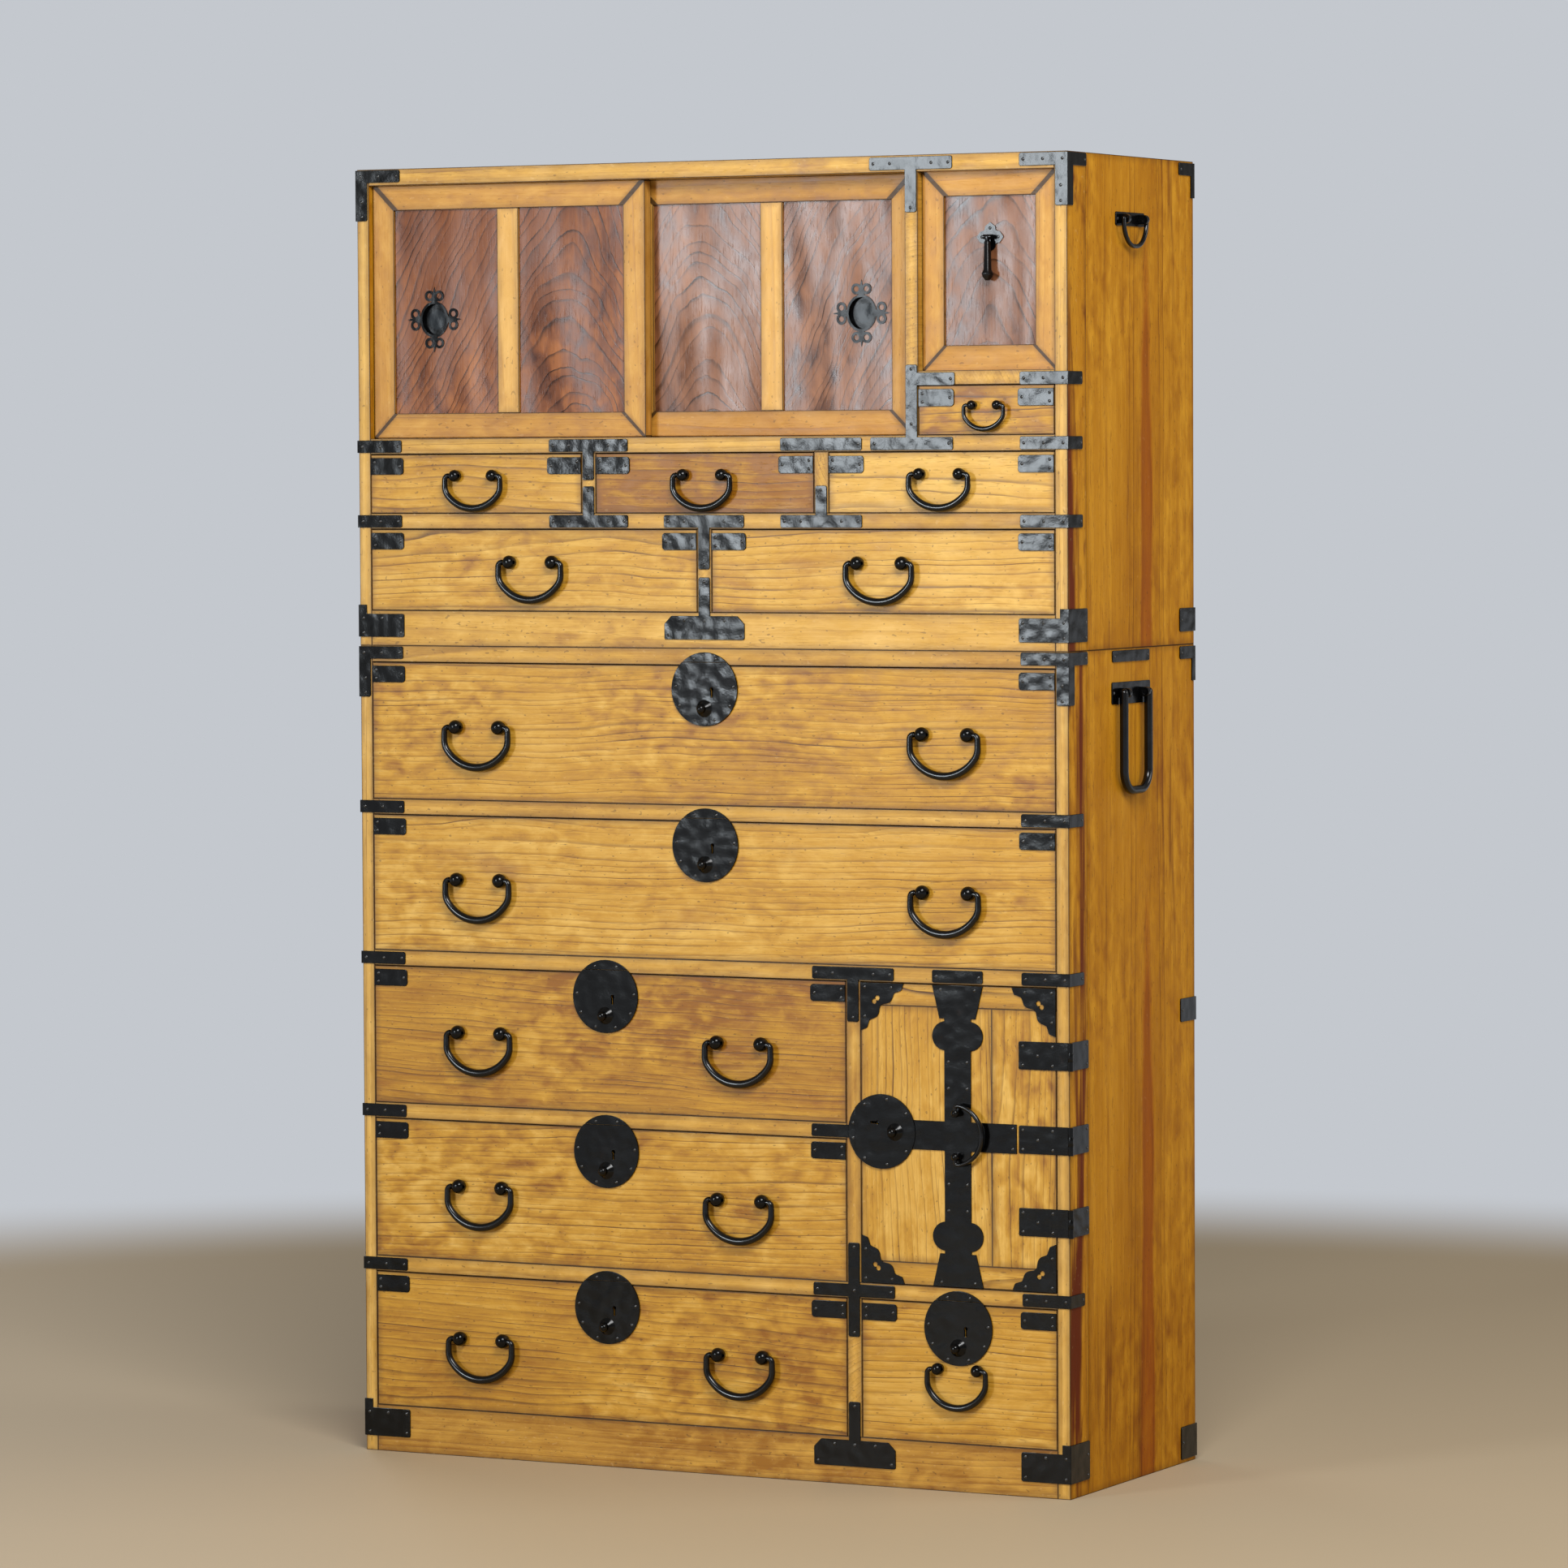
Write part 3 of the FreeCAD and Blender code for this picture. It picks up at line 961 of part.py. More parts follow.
def door_lock():
    """Lock plate on the hinged door, right of its flap line, with its boss and nails."""
    cx, cz = DOOR_LOCK_X, DOOR_LOCK_Z
    beyond = block(cx - LOCK_R - OVER, DOOR_FLAP_X, FRONT - LOCK_T, FRONT, cz - LOCK_R, cz + LOCK_R)
    sheet = disc(cx, cz, LOCK_T).cut(beyond).cut(door_key_cut())
    marks = rim_nails(cx, cz, DOOR_LOCK_NAILS, LOCK_T)
    return [sheet, boss(cx + DOOR_BOSS_SIDE, cz), door_lock_case()] + marks


def door_lock_flap():
    """Segment of the door's lock plate that is fixed on the partition."""
    cx, cz = DOOR_LOCK_X, DOOR_LOCK_Z
    rest = block(DOOR_FLAP_X - FLAP_GAP, cx + LOCK_R, FRONT - FLAP_T, FRONT, cz - LOCK_R, cz + LOCK_R)
    return [disc(cx, cz, FLAP_T).cut(rest)] + rim_nails(cx, cz, DOOR_FLAP_NAILS, FLAP_T)


def lobe(x, z, radius):
    return rod(V(x, FRONT, z), V(x, FRONT - IRON_T, z), radius)


def vase(edge_z, way):
    """Spreading foot, neck and two lobes at one end of the door's upright bar."""
    neck_z = edge_z + way * VASE_NECK_H
    lobe_z = neck_z + way * LOBE_DROP
    foot, neck = VASE_W / 2, VASE_NECK_W / 2
    ends = [(BAR_X - foot, edge_z), (BAR_X + foot, edge_z), (BAR_X + neck, neck_z), (BAR_X - neck, neck_z)]
    lobes = [lobe(BAR_X + side * (foot - LOBE_R), lobe_z, LOBE_R) for side in (-1, 1)]
    return [plate(ends)] + lobes


def spandrel(x, z, way_x, way_z):
    """Corner iron with a cloud outline and a two-lobed hole; x, z is the door's corner."""
    other_half = [(across, along, radius) for along, across, radius in reversed(SPANDREL)]
    points = [(0, 0, 0), *SPANDREL, *other_half]
    sheet = plate([(x + way_x * u, z + way_z * v, radius) for u, v, radius in points])
    for u, v in ((PETAL_OFF, -PETAL_OFF), (-PETAL_OFF, PETAL_OFF)):
        sheet = sheet.cut(lobe(x + way_x * (SPANDREL_HOLE + u), z + way_z * (SPANDREL_HOLE + v), PETAL_R))
    places = ((NAIL_MARGIN, NAIL_MARGIN), (SPANDREL_NAIL, NAIL_MARGIN), (NAIL_MARGIN, SPANDREL_NAIL))
    return [sheet] + nails([(x + way_x * u, z + way_z * v) for u, v in places])


def hinged_door_iron():
    """Crossed bars, corner irons, lock, eyes and hinge leaves of the hinged door."""
    z0, z1 = HINGED_Z0, HINGED_Z1
    reach = VASE_NECK_H - OVER
    half = BAR_W / 2
    standing = plate(strip(BAR_X - half, BAR_X + half, z0 + reach, z1 - reach))
    level_x = RIGHT - HINGE_LEN - STRAP_R
    level = plate(strip(DOOR_LOCK_X + LOCK_REACH, level_x, HINGE_MID_Z - half, HINGE_MID_Z + half))
    clear_lock = disc(DOOR_LOCK_X, DOOR_LOCK_Z, LOCK_T)
    cross = merged(standing, level, *(vase(z0, 1) + vase(z1, -1))).cut(clear_lock)
    pieces = [cross] + door_lock()
    for x, way_x in ((HINGED_X0, 1), (HINGED_X1, -1)):
        for z, way_z in ((z0, 1), (z1, -1)):
            pieces += spandrel(x, z, way_x, way_z)
    marks = []
    for side in (-1, 1):
        bar_levels = (z0 + BAR_END_NAIL, z1 - BAR_END_NAIL, HINGE_MID_Z + BAR_NAIL, HINGE_MID_Z - BAR_NAIL)
        marks += [(BAR_X + side * (half - NAIL_MARGIN), z) for z in bar_levels]
        marks += [(BAR_X + side * VASE_NAIL, z) for z in (z0 + NAIL_MARGIN, z1 - NAIL_MARGIN)]
        marks.append((level_x - NAIL_MARGIN, HINGE_MID_Z + side * (half - NAIL_MARGIN)))
    pieces += nails(marks)
    pieces += [upright(shape) for shape in eyes(door_bail(), -IRON_T)]
    for z in (HINGE_TOP_Z, HINGE_MID_Z, HINGE_LOW_Z):
        pieces += hinge_pieces(z)[0]
    return pieces


def door_bail():
    bail = Bail(BAR_X, DOOR_LOCK_Z, DOOR_EYES, DOOR_DROP, DOOR_ROD_R, DOOR_EYE_R, DOOR_BEND)
    bail.shape = DOOR_BOW_SHAPE
    return bail


def upright(shape):
    """Turn a pull drawn with a level axis so that its axis stands and its bow points right."""
    turned = shape.copy()
    turned.rotate(V(BAR_X, FRONT, DOOR_LOCK_Z), V(0, 1, 0), -90)
    return turned


# ---------------------------------------------------------------- framed doors
def frame_member(corners, recess):
    return plate(corners, DOOR_T, recess + DOOR_T)


def panel(x0, x1, z0, z1, recess):
    y0 = FRONT + recess + PANEL_RECESS
    reach = PANEL_TONGUE
    return block(x0 - reach, x1 + reach, y0, y0 + PANEL_T, z0 - reach, z1 + reach)


def framed_door(x0, x1, z0, z1, recess, frame_w, muntin_w=0.0):
    """Mitred frame, a middle upright where muntin_w is set, and panels held in grooves."""
    a0, a1, b0, b1 = x0 + frame_w, x1 - frame_w, z0 + frame_w, z1 - frame_w
    rails = [[(x0, z0), (x1, z0), (a1, b0), (a0, b0)], [(x0, z1), (a0, b1), (a1, b1), (x1, z1)]]
    stiles = [[(x0, z0), (a0, b0), (a0, b1), (x0, z1)], [(x1, z0), (x1, z1), (a1, b1), (a1, b0)]]
    members = [frame_member(corners, recess) for corners in rails + stiles]
    if muntin_w:
        middle = (x0 + x1) / 2
        m0, m1 = middle - muntin_w / 2, middle + muntin_w / 2
        members.append(frame_member(strip(m0, m1, b0, b1), recess))
        panels = [panel(a0, m0, b0, b1, recess), panel(m1, a1, b0, b1, recess)]
    else:
        panels = [panel(a0, a1, b0, b1, recess)]
    return [member.cut(Part.makeCompound(panels)) for member in members], panels


def tongues(x0, x1, recess):
    """Strips under and over a sliding door, which run in the case's tracks."""
    y0 = FRONT + recess + (DOOR_T - TONGUE_T) / 2
    foot = block(x0, x1, y0, y0 + TONGUE_T, DOOR_Z - SILL_TRACK + TRACK_CLEAR, DOOR_Z + DOOR_CLEAR)
    head = block(x0, x1, y0, y0 + TONGUE_T, DOOR_TOP - DOOR_CLEAR, DOOR_TOP + HEAD_ENTRY)
    return foot, head


class SlidingDoor:
    def __init__(self, x0, recess, cup_x, cup_panel):
        self.x0, self.x1, self.recess = x0, x0 + DOOR_W, recess
        self.cup_x, self.cup_panel = cup_x, cup_panel


SLIDING = {
    "left_sliding_door": SlidingDoor(INNER_L, DOOR_RECESS, INNER_L + CUP_FROM_SIDE, 0),
    "right_sliding_door": SlidingDoor(DIVIDER_X0 - DOOR_W, REAR_TRACK, DIVIDER_X0 - CUP_FROM_DIVIDER, 1),
}


def oval(x, z, half_w, half_h, y0, y1):
    """Upright elliptical prism, taller than wide."""
    curve = Part.Ellipse(V(x, y1, z + half_h), V(x + half_w, y1, z), V(x, y1, z))
    return Part.Face(Part.Wire(curve.toShape())).extrude(V(0, y0 - y1, 0))


def cup_space(door, grow):
    y0 = FRONT + door.recess + PANEL_RECESS
    return oval(door.cup_x, DOOR_Z + CUP_Z, CUP_W / 2 + grow, CUP_H / 2 + grow, y0, y0 + PANEL_T)


def sliding_door(door):
    x0, x1 = door.x0 + DOOR_CLEAR, door.x1 - DOOR_CLEAR
    z0, z1 = DOOR_Z + DOOR_CLEAR, DOOR_TOP - DOOR_CLEAR
    members, panels = framed_door(x0, x1, z0, z1, door.recess, DOOR_FRAME_W, DOOR_FRAME_W)
    foot, head = tongues(x0, x1, door.recess)
    members[0] = merged(members[0], foot)
    members[1] = merged(members[1], head)
    panels[door.cup_panel] = panels[door.cup_panel].cut(cup_space(door, CUP_WALL))
    return members + panels


def curl(x, z, dx, dz, reach):
    """Flourish of two pierced scrolls and a point, growing from the cup's rim towards dx, dz."""
    out = V(0, -CUP_PLATE_T, 0)

    def spot(along, side):
        return V(x + dx * along - dz * side, 0, z + dz * along + dx * side)

    base = reach - CURL_SINK
    first = spot(base, -CURL_ROOT)
    corners = [first, spot(reach + CURL_TIP, 0), spot(base, CURL_ROOT), first]
    shape = Part.Face(Part.makePolygon(corners)).extrude(out)
    scrolls = [spot(reach + CURL_REACH, side * CURL_SIDE) for side in (-1, 1)]
    for middle in scrolls:
        shape = shape.fuse(rod(middle, middle + out, CURL_R))
    for middle in scrolls:
        shape = shape.cut(rod(middle, middle + out, CURL_HOLE_R))
    return shape


def cup_pull(door):
    """Oval cup with a rim and four flourishes, let into a door panel."""
    x, z = door.cup_x, DOOR_Z + CUP_Z
    face = FRONT + door.recess + PANEL_RECESS
    half_w, half_h = CUP_W / 2, CUP_H / 2
    rim = oval(x, z, half_w + CUP_RIM, half_h + CUP_RIM, face - CUP_PLATE_T, face)
    for dx, dz, reach in ((1, 0, half_w), (-1, 0, half_w), (0, 1, half_h), (0, -1, half_h)):
        arm = curl(x, z, dx, dz, reach + CUP_RIM)
        arm.translate(V(0, face, 0))
        rim = rim.fuse(arm)
    cup = oval(x, z, half_w + CUP_WALL, half_h + CUP_WALL, face - CUP_PLATE_T, face + PANEL_T)
    hollow = oval(x, z, half_w, half_h, face - CUP_PLATE_T, face + PANEL_T - CUP_WALL)
    return [rim.fuse(cup).cut(hollow).removeSplitter()]


def lift_out_door():
    """Door of the right-hand bay: it stands in a shallow track and lifts into a deeper one."""
    x0, x1 = DIVIDER_X1 + DOOR_CLEAR, INNER_R - DOOR_CLEAR
    z0, z1 = LIFT_Z + DOOR_CLEAR, DOOR_TOP - DOOR_CLEAR
    members, panels = framed_door(x0, x1, z0, z1, LIFT_RECESS, LIFT_FRAME_W)
    y0 = FRONT + LIFT_RECESS
    foot = block(x0, x1, y0, y0 + DOOR_T, LIFT_Z - SILL_TRACK + TRACK_CLEAR, z0)
    head = block(x0, x1, y0, y0 + DOOR_T, z1, DOOR_TOP + LIFT_HEAD_ENTRY)
    return [merged(members[0], foot), merged(members[1], head)] + members[2:] + panels


def drop_plate():
    """Four-pointed plate with scalloped edges, two ears and the pin that the drop hangs on."""
    corners = []
    for turn in range(4):
        for across, up, radius in DROP_PLATE:
            for _ in range(turn):
                across, up = -up, across
            corners.append((LIFT_X + across, PULL_Z + up, radius))
    axis_y = PULL_FACE - DROP_OUT
    iron = plate(corners, IRON_T, PULL_FACE - FRONT)
    near = DROP_EYE + EAR_GAP
    far = near + PULL_EAR
    ear_r = 2 * DROP_PIN_R
    for x0 in (LIFT_X - far, LIFT_X + near):
        x1 = x0 + PULL_EAR
        lug = block(x0, x1, axis_y, PULL_FACE, PULL_Z - ear_r, PULL_Z + ear_r)
        knuckle = rod(V(x0, axis_y, PULL_Z), V(x1, axis_y, PULL_Z), ear_r)
        iron = merged(iron, lug, knuckle)
    pin = rod(V(LIFT_X - far, axis_y, PULL_Z), V(LIFT_X + far, axis_y, PULL_Z), DROP_PIN_R)
    marks = [(LIFT_X - PLATE_NAIL, PULL_Z), (LIFT_X + PLATE_NAIL, PULL_Z), (LIFT_X, PULL_Z + PLATE_NAIL)]
    return [merged(iron, pin)] + nails(marks, PULL_FACE - FRONT)


def drop():
    """Six-sided drop with a collar near its foot, hanging from its eye."""
    def ring(z, radius):
        turns = [math.pi * i / 3 for i in range(7)]
        return Part.makePolygon([V(radius * math.cos(turn), radius * math.sin(turn), z) for turn in turns])

    start = -2 * DROP_NECK
    stem = Part.makeLoft([ring(start - down, radius) for down, radius in DROP_STEPS], True, True)
    left, right = V(-DROP_EYE, 0, 0), V(DROP_EYE, 0, 0)
    link = block(-DROP_EYE, DROP_EYE, -DROP_NECK, DROP_NECK, start, 0)
    head = rod(left, right, DROP_NECK)
    bore = rod(left, right, DROP_PIN_R + PIN_CLEAR)
    shape = merged(stem, link, head).cut(bore)
    shape.translate(V(LIFT_X, PULL_FACE - DROP_OUT, PULL_Z))
    return shape


# ---------------------------------------------------------------- the whole chest
def main():
    os.makedirs("parts", exist_ok=True)
    save("lower_case_boards", lower_case())
    save("lower_case_iron", lower_case_iron())
    save("upper_case_boards", upper_case())
    save("upper_case_iron", upper_case_iron())
    for name in BAYS:
        bails = drawer_bails(name)
        iron = drawer_plates(name)
        for bail_name, bail in bails.items():
            iron += eyes(bail)
            save(bail_name, [bow(bail)])
        if name in LOCKED:
            iron += drawer_lock(name)
        save(f"{name}_drawer", drawer_box(name))
        save(f"{name}_drawer_iron", iron)
    for name, door in SLIDING.items():
        save(name, sliding_door(door))
        save(f"{name}_cup_pull", cup_pull(door))
    save("lift_out_door", lift_out_door())
    save("lift_out_door_plate", drop_plate())
    save("lift_out_door_drop", [drop()])
    save("hinged_door", hinged_door())
    save("hinged_door_iron", hinged_door_iron())
    save("hinged_door_bail", [upright(bow(door_bail(), -IRON_T))])
    for name, shape in (("ring_handle", ring_handle()), ("carrying_handle", yoke_handle())):
        save(f"right_{name}", [shape])
        save(f"left_{name}", [mirrored(shape)])


main()
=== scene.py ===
"""Looks of the tansu chest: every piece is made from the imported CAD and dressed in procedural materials."""

import json
import math
import random

import bmesh
import bpy
import numpy as np
from mathutils import Matrix, Vector


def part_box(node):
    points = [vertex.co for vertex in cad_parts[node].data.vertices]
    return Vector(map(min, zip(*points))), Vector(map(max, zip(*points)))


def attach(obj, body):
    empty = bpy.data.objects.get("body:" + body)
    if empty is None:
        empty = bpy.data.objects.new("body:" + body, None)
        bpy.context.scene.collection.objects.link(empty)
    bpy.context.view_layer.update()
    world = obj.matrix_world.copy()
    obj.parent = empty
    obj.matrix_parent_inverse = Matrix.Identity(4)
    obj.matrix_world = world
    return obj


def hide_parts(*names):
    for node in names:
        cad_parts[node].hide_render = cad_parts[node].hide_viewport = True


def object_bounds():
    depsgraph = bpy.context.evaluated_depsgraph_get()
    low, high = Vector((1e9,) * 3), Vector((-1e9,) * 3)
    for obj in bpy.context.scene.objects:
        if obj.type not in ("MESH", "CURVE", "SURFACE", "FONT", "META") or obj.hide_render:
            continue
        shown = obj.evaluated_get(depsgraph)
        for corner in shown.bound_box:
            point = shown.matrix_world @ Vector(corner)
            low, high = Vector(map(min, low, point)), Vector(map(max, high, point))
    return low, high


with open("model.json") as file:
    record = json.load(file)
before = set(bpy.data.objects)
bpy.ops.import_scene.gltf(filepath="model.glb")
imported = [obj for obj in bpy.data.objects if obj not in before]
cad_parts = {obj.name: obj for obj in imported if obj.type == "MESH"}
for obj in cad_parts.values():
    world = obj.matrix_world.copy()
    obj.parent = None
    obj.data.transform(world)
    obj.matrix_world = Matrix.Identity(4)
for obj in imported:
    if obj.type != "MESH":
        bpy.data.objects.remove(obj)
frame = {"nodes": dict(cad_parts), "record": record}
CAD_LO, CAD_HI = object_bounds()

# ---------------------------------------------------------------- places and sizes, in metres
CAMERA_AT = (3.613829, -7.006315, 1.161764)
CAMERA_TURN_Z, CAMERA_TILT, CAMERA_ROLL = 27.20848, 2.74569, -0.27944     # degrees
LENS, SENSOR = 155.857, 36.0            # millimetres
CLIP_END = 200

WELD = 1e-6                             # points of the same step of this are one
WOOD_BEVEL, IRON_BEVEL, BEVEL_STEPS = 0.0005, 0.0004, 2
FLAT_TURN, SHARP_TURN, SMOOTH_TURN = math.radians(0.4), math.radians(34), math.radians(36)
CURVED_FACES = 150                      # a solid with more faces than this once flattened stays as it is
NAIL_SIZE = 0.008                       # iron solids smaller than this are nails

# How a board of the CAD is told by its size and place
FRONT_Y = -0.165                        # boards that start before this show at the front
BASE_RAIL_TOP = 0.08                    # the rail that ends under this is the base rail
SIDE_LEAST_H, POST_MOST_D = 0.5, 0.1    # boards of the sides are this tall; their posts are this shallow
BOARD_MOST = 0.03                       # the sides and the top are thinner than this
PANEL_LEAST = 0.08                      # a door's panels are wider and taller than this
MUNTIN_IN = 0.1                         # a door's middle upright is this far in from its edges
KEYHOLE_AREA, KEYHOLE_DEEP = 0.0006, 0.003      # faces inside a keyhole: at most, at least
FACES_FRONT, FACES_ASIDE = -0.7, 0.3    # parts of a face's normal

# Pulls: the pins in their eyes, the bow's thickness as a share of the CAD's, and its outline as in the
# CAD (where its sides turn in and how round they are, as shares of its drop)
BOW_PIN_R, BOW_PIN_L, PIN_SLACK, ROD_SLACK = 0.0020, 0.008, 1.2, 1.02
BOW_ENDS, BOW_MIDDLE, BOW_SWELL = 0.74, 1.05, 1.3
BOW_SHAPE, DOOR_BOW_SHAPE = (0.32, 0.44), (0.0, 0.55)
BOW_STEPS, BOW_SIDES, END_RINGS = 14, 20, 4

# ---------------------------------------------------------------- looks; colours are sRGB out of 255
SEED = 11
# How light each drawer's front is; 0 is the middle colour. This is partly each board's own tone and partly
# painted light: the upper right-hand fronts are made lighter as a painted sheen, and third_left_drawer darker
# as painted shade
FRONT_TONE_AND_PAINTED_LIGHT = {"top_wide_drawer": -0.25, "second_wide_drawer": 0.1, "third_left_drawer": -0.8,
         "fourth_left_drawer": -0.15, "bottom_left_drawer": -0.5, "bottom_right_drawer": 0.05,
         "long_left_drawer": 0.1, "long_right_drawer": 0.35, "short_left_drawer": -0.1,
         "short_middle_drawer": -1.7, "short_right_drawer": 1.2, "small_upper_drawer": -0.5}
POST_TONE, BASE_TONE, MUNTIN_TONE = 0.8, -1.2, 0.8
RAIL_TONES, DOOR_TONES, STILE_TONES, FRAME_RAIL_TONES = (-0.3, 0.3), (0.0, 0.4), (0.3, 0.6), (-0.3, 0.0)
ANY_TONES = (-0.5, 0.5)
# Where a board has its pith: along, across (a share of its width where it's drawn) and into the board
PANEL_PITHS = {"left_sliding_door": ((0.3, 0.16, 0.06), (0.0, 0.006, 0.045)),
               "right_sliding_door": ((0.7, -0.004, 0.04), (0.9, -0.12, 0.05)),
               "lift_out_door": ((0.5, 0.004, 0.03),)}
SIDE_PITH = (0.25, -0.012, 0.020)
ANY_PITH_AWAY, ANY_PITH_ALONG, ANY_PITH_DEEP = (0.5, 1.3), (-9, 9), (0.04, 0.12)

# Noise in the wood: stretch along, across and into the board; detail; roughness; distortion; shift
SLOW_BEND = ((1.6, 5.0, 5.0), 2.0)
QUICK_BEND = ((9.0, 24.0, 24.0), 2.0)
RIPPLE = ((8.0, 10.0, 20.0), 1.0, 0.5, 0.2)
FINE_RIPPLE = ((34.0, 46.0, 46.0), 2.0)
DRIFT = ((0.3, 1, 1), 2.0)
BROKEN = ((6.0, 50.0, 50.0), 2.0)
STRANDS = ((10.0, 460.0, 460.0), 3.0, 0.65)
BANDS = ((2.5, 80.0, 80.0), 3.0, 0.6)
DASHES = ((60.0, 850.0, 850.0), 1.0)
CLOUDS = ((2.4, 7.0, 7.0), 4.0, 0.62, 0.5)
SPOTS = ((34.0, 60.0, 60.0), 2.0, 0.5, 0.4)
SPOTTED = ((2.6, 5.0, 5.0), 2.0, 0.5, 0.0, (5.2, 1.7, 8.3))
FLECKS = ((14.0, 36.0, 36.0), 5.0, 0.72, 0.8, (6.0, 0.5, 2.2))
STRIPES = ((0.8, 13.0, 13.0), 4.0, 0.55, 0.4)
STAINED = ((6.0, 14.0, 14.0), 4.0, 0.66, 0.0, (3.1, 7.7, 1.3))
RUBBED = ((1.6, 30.0, 30.0), 4.0, 0.62, 0.3, (9.1, 2.7, 4.3))
# noise that makes the darkening along each board's edges ragged
EDGE_DARK_NOISE = ((24.0, 70.0, 70.0), 4.0, 0.6)
SPECKS = ((190.0, 320.0, 320.0), 0.0)
PALE_SPECKS = ((160.0, 260.0, 260.0), 0.0, 0.5, 0.0, (1.0, 2.0, 3.0))
HOLLOWS = ((4.0, 13.0, 13.0), 1.0, 0.5, 0.0, (4.4, 0.8, 6.1))
# How high a noise is where its patches start and where they are full
BROKEN_AT, DASHES_AT, SPOTTED_AT, STAINED_AT = (0.35, 0.62), (0.60, 0.70), (0.42, 0.62), (0.57, 0.78)
SPECKS_AT, PALE_AT = (0.77, 0.80), (0.79, 0.82)
RUBBED_AT, RUBBED_MORE = (0.62, 0.80), (0.10, 0.12)     # the second is taken off, times wear

# Growth rings: where in a ring its dark line rises and falls, and its early wood fades
LINE_RISE, LINE_FALL, EARLY_FADE, PORE_FADE = (0.62, 0.95), (0.96, 1.0), (0.0, 0.8), (0.0, 0.5)
LINE_SHARP, LINE_RARE = 2.0, 1.6        # powers: thinner lines, fewer strong lines
LINE_LEAST, LINE_EVEN = 0.15, 0.6       # the weakest line, and how much even adds to it
FAR_LINES = 0.2                         # strength of the lines far from a flame
FINE_BEND, RING_DRIFT = 0.12, 4.0
# Shares of the wood's shade
CLOUD_SHADE, FLECK_SHADE, SPOT_SHADE = 1.3, 1.7, 2.2            # times mottle
BAND_SHADE, STRAND_SHADE = 0.5, 0.75                            # times fibre
EARLY_SHADE, EARLY_SWING, TONE_SHADE = 0.10, (0.5, -0.5), 0.22
LATE_PORES = 0.35                                               # pores in late wood
DARK_AT, MIDDLE_AT, LIGHT_AT = 0.05, 0.5, 0.95
FLAME_EDGE, FLAME_SHARE = 0.002, 0.65
# Wear, darkening along the edges, and dark lines at each board's edge: dark joints, and painted shade in the
# gaps between boards
WEAR_RGB, EDGE_DARK_RGB, JOINT_AND_GAP_SHADE_RGB = (96, 38, 10), (84, 46, 14), (34, 20, 9)
SPECK_RGB, PALE_RGB = (52, 30, 14), (236, 206, 150)
EDGE_DARK_SHARE, JOINT_AND_GAP_SHADE_SHARE, SPECK_SHARE, PALE_SHARE = 0.75, 0.85, 0.7, 0.18
EDGE_DARK_RAGGED, EDGE_DARK_REACH, JOINT_AND_GAP_SHADE_REACH, MITRE_THIN = -0.010, (-0.006, 0.005), (0.0002, 0.0014), 1.2
# Relief of the wood
LINE_RELIEF, STRAND_RELIEF, PORE_RELIEF, SPOT_RELIEF = -0.35, 0.35, -0.5, 0.8
WOOD_BUMP, WOOD_RELIEF = 0.25, 0.0006
SPOT_GLOSS, LINE_GLOSS = 0.2, -0.05

# Noise in the iron, the same ways in all directions
HAMMER = ((75.0,) * 3, 0.0, 0.4)
SMALL_DENTS = ((320.0,) * 3, 2.0, 0.6)
GRIT = ((1100.0,) * 3, 2.0, 0.6)
PATCHES = ((24.0,) * 3, 4.0, 0.62)
RUST = ((55.0,) * 3, 4.0, 0.7, 0.0, (2.0, 5.0, 1.0))
# Grey wear on the iron; on nails it is paler, partly wear and partly a painted glint
RUST_AT, WORN_AND_GLINT_AT = (0.60, 0.78), (0.56, 0.86)
WORN_AND_GLINT_DENTS, WORN_AND_GLINT_PATCHES = 0.45, 0.75   # grey wear, which on nails is partly a painted glint, is this much small dents and this much patches
RUST_RGB, RUST_SHARE, WORN_AND_GLINT_SHARE = (46, 30, 20), 0.2, 0.5
# A pull's paler, bluish middle is a painted sheen: how soft its edge is and how strong it is
CUP_SHEEN_EDGE, CUP_SHEEN_SHARE = 0.0015, 0.9
SMALL_RELIEF, GRIT_RELIEF, IRON_BUMP, IRON_RELIEF = 0.12, 0.02, 0.32, 0.0022
PATCH_GLOSS = 0.16


# ---------------------------------------------------------------- meshes
def welded(mesh):
    """A CAD mesh's points and triangles, with equal points made one."""
    mesh.calc_loop_triangles()
    points = np.empty(len(mesh.vertices) * 3, np.float32)
    mesh.vertices.foreach_get("co", points)
    points = points.reshape(-1, 3)
    corners = np.empty(len(mesh.loop_triangles) * 3, np.int32)
    mesh.loop_triangles.foreach_get("vertices", corners)
    _, first, where = np.unique(np.round(points / WELD).astype(np.int64), axis=0,
                                return_index=True, return_inverse=True)
    corners = where.reshape(-1)[corners].reshape(-1, 3)
    thin = ((corners[:, 0] == corners[:, 1]) | (corners[:, 1] == corners[:, 2])
            | (corners[:, 2] == corners[:, 0]))
    return points[first].astype(float), corners[~thin]


def touching(corners, count):
    """Pairs of triangles that share an edge with each other alone."""
    edges = np.sort(np.concatenate([corners[:, [0, 1]], corners[:, [1, 2]], corners[:, [2, 0]]]), axis=1)
    owner = np.tile(np.arange(len(corners)), 3)
    code = edges[:, 0].astype(np.int64) * count + edges[:, 1]
    order = np.argsort(code, kind="stable")
    code = code[order]
    starts = np.flatnonzero(np.r_[True, code[1:] != code[:-1]])
    shared = starts[np.diff(np.r_[starts, len(code)]) == 2]
    return owner[order[shared]], owner[order[shared + 1]]


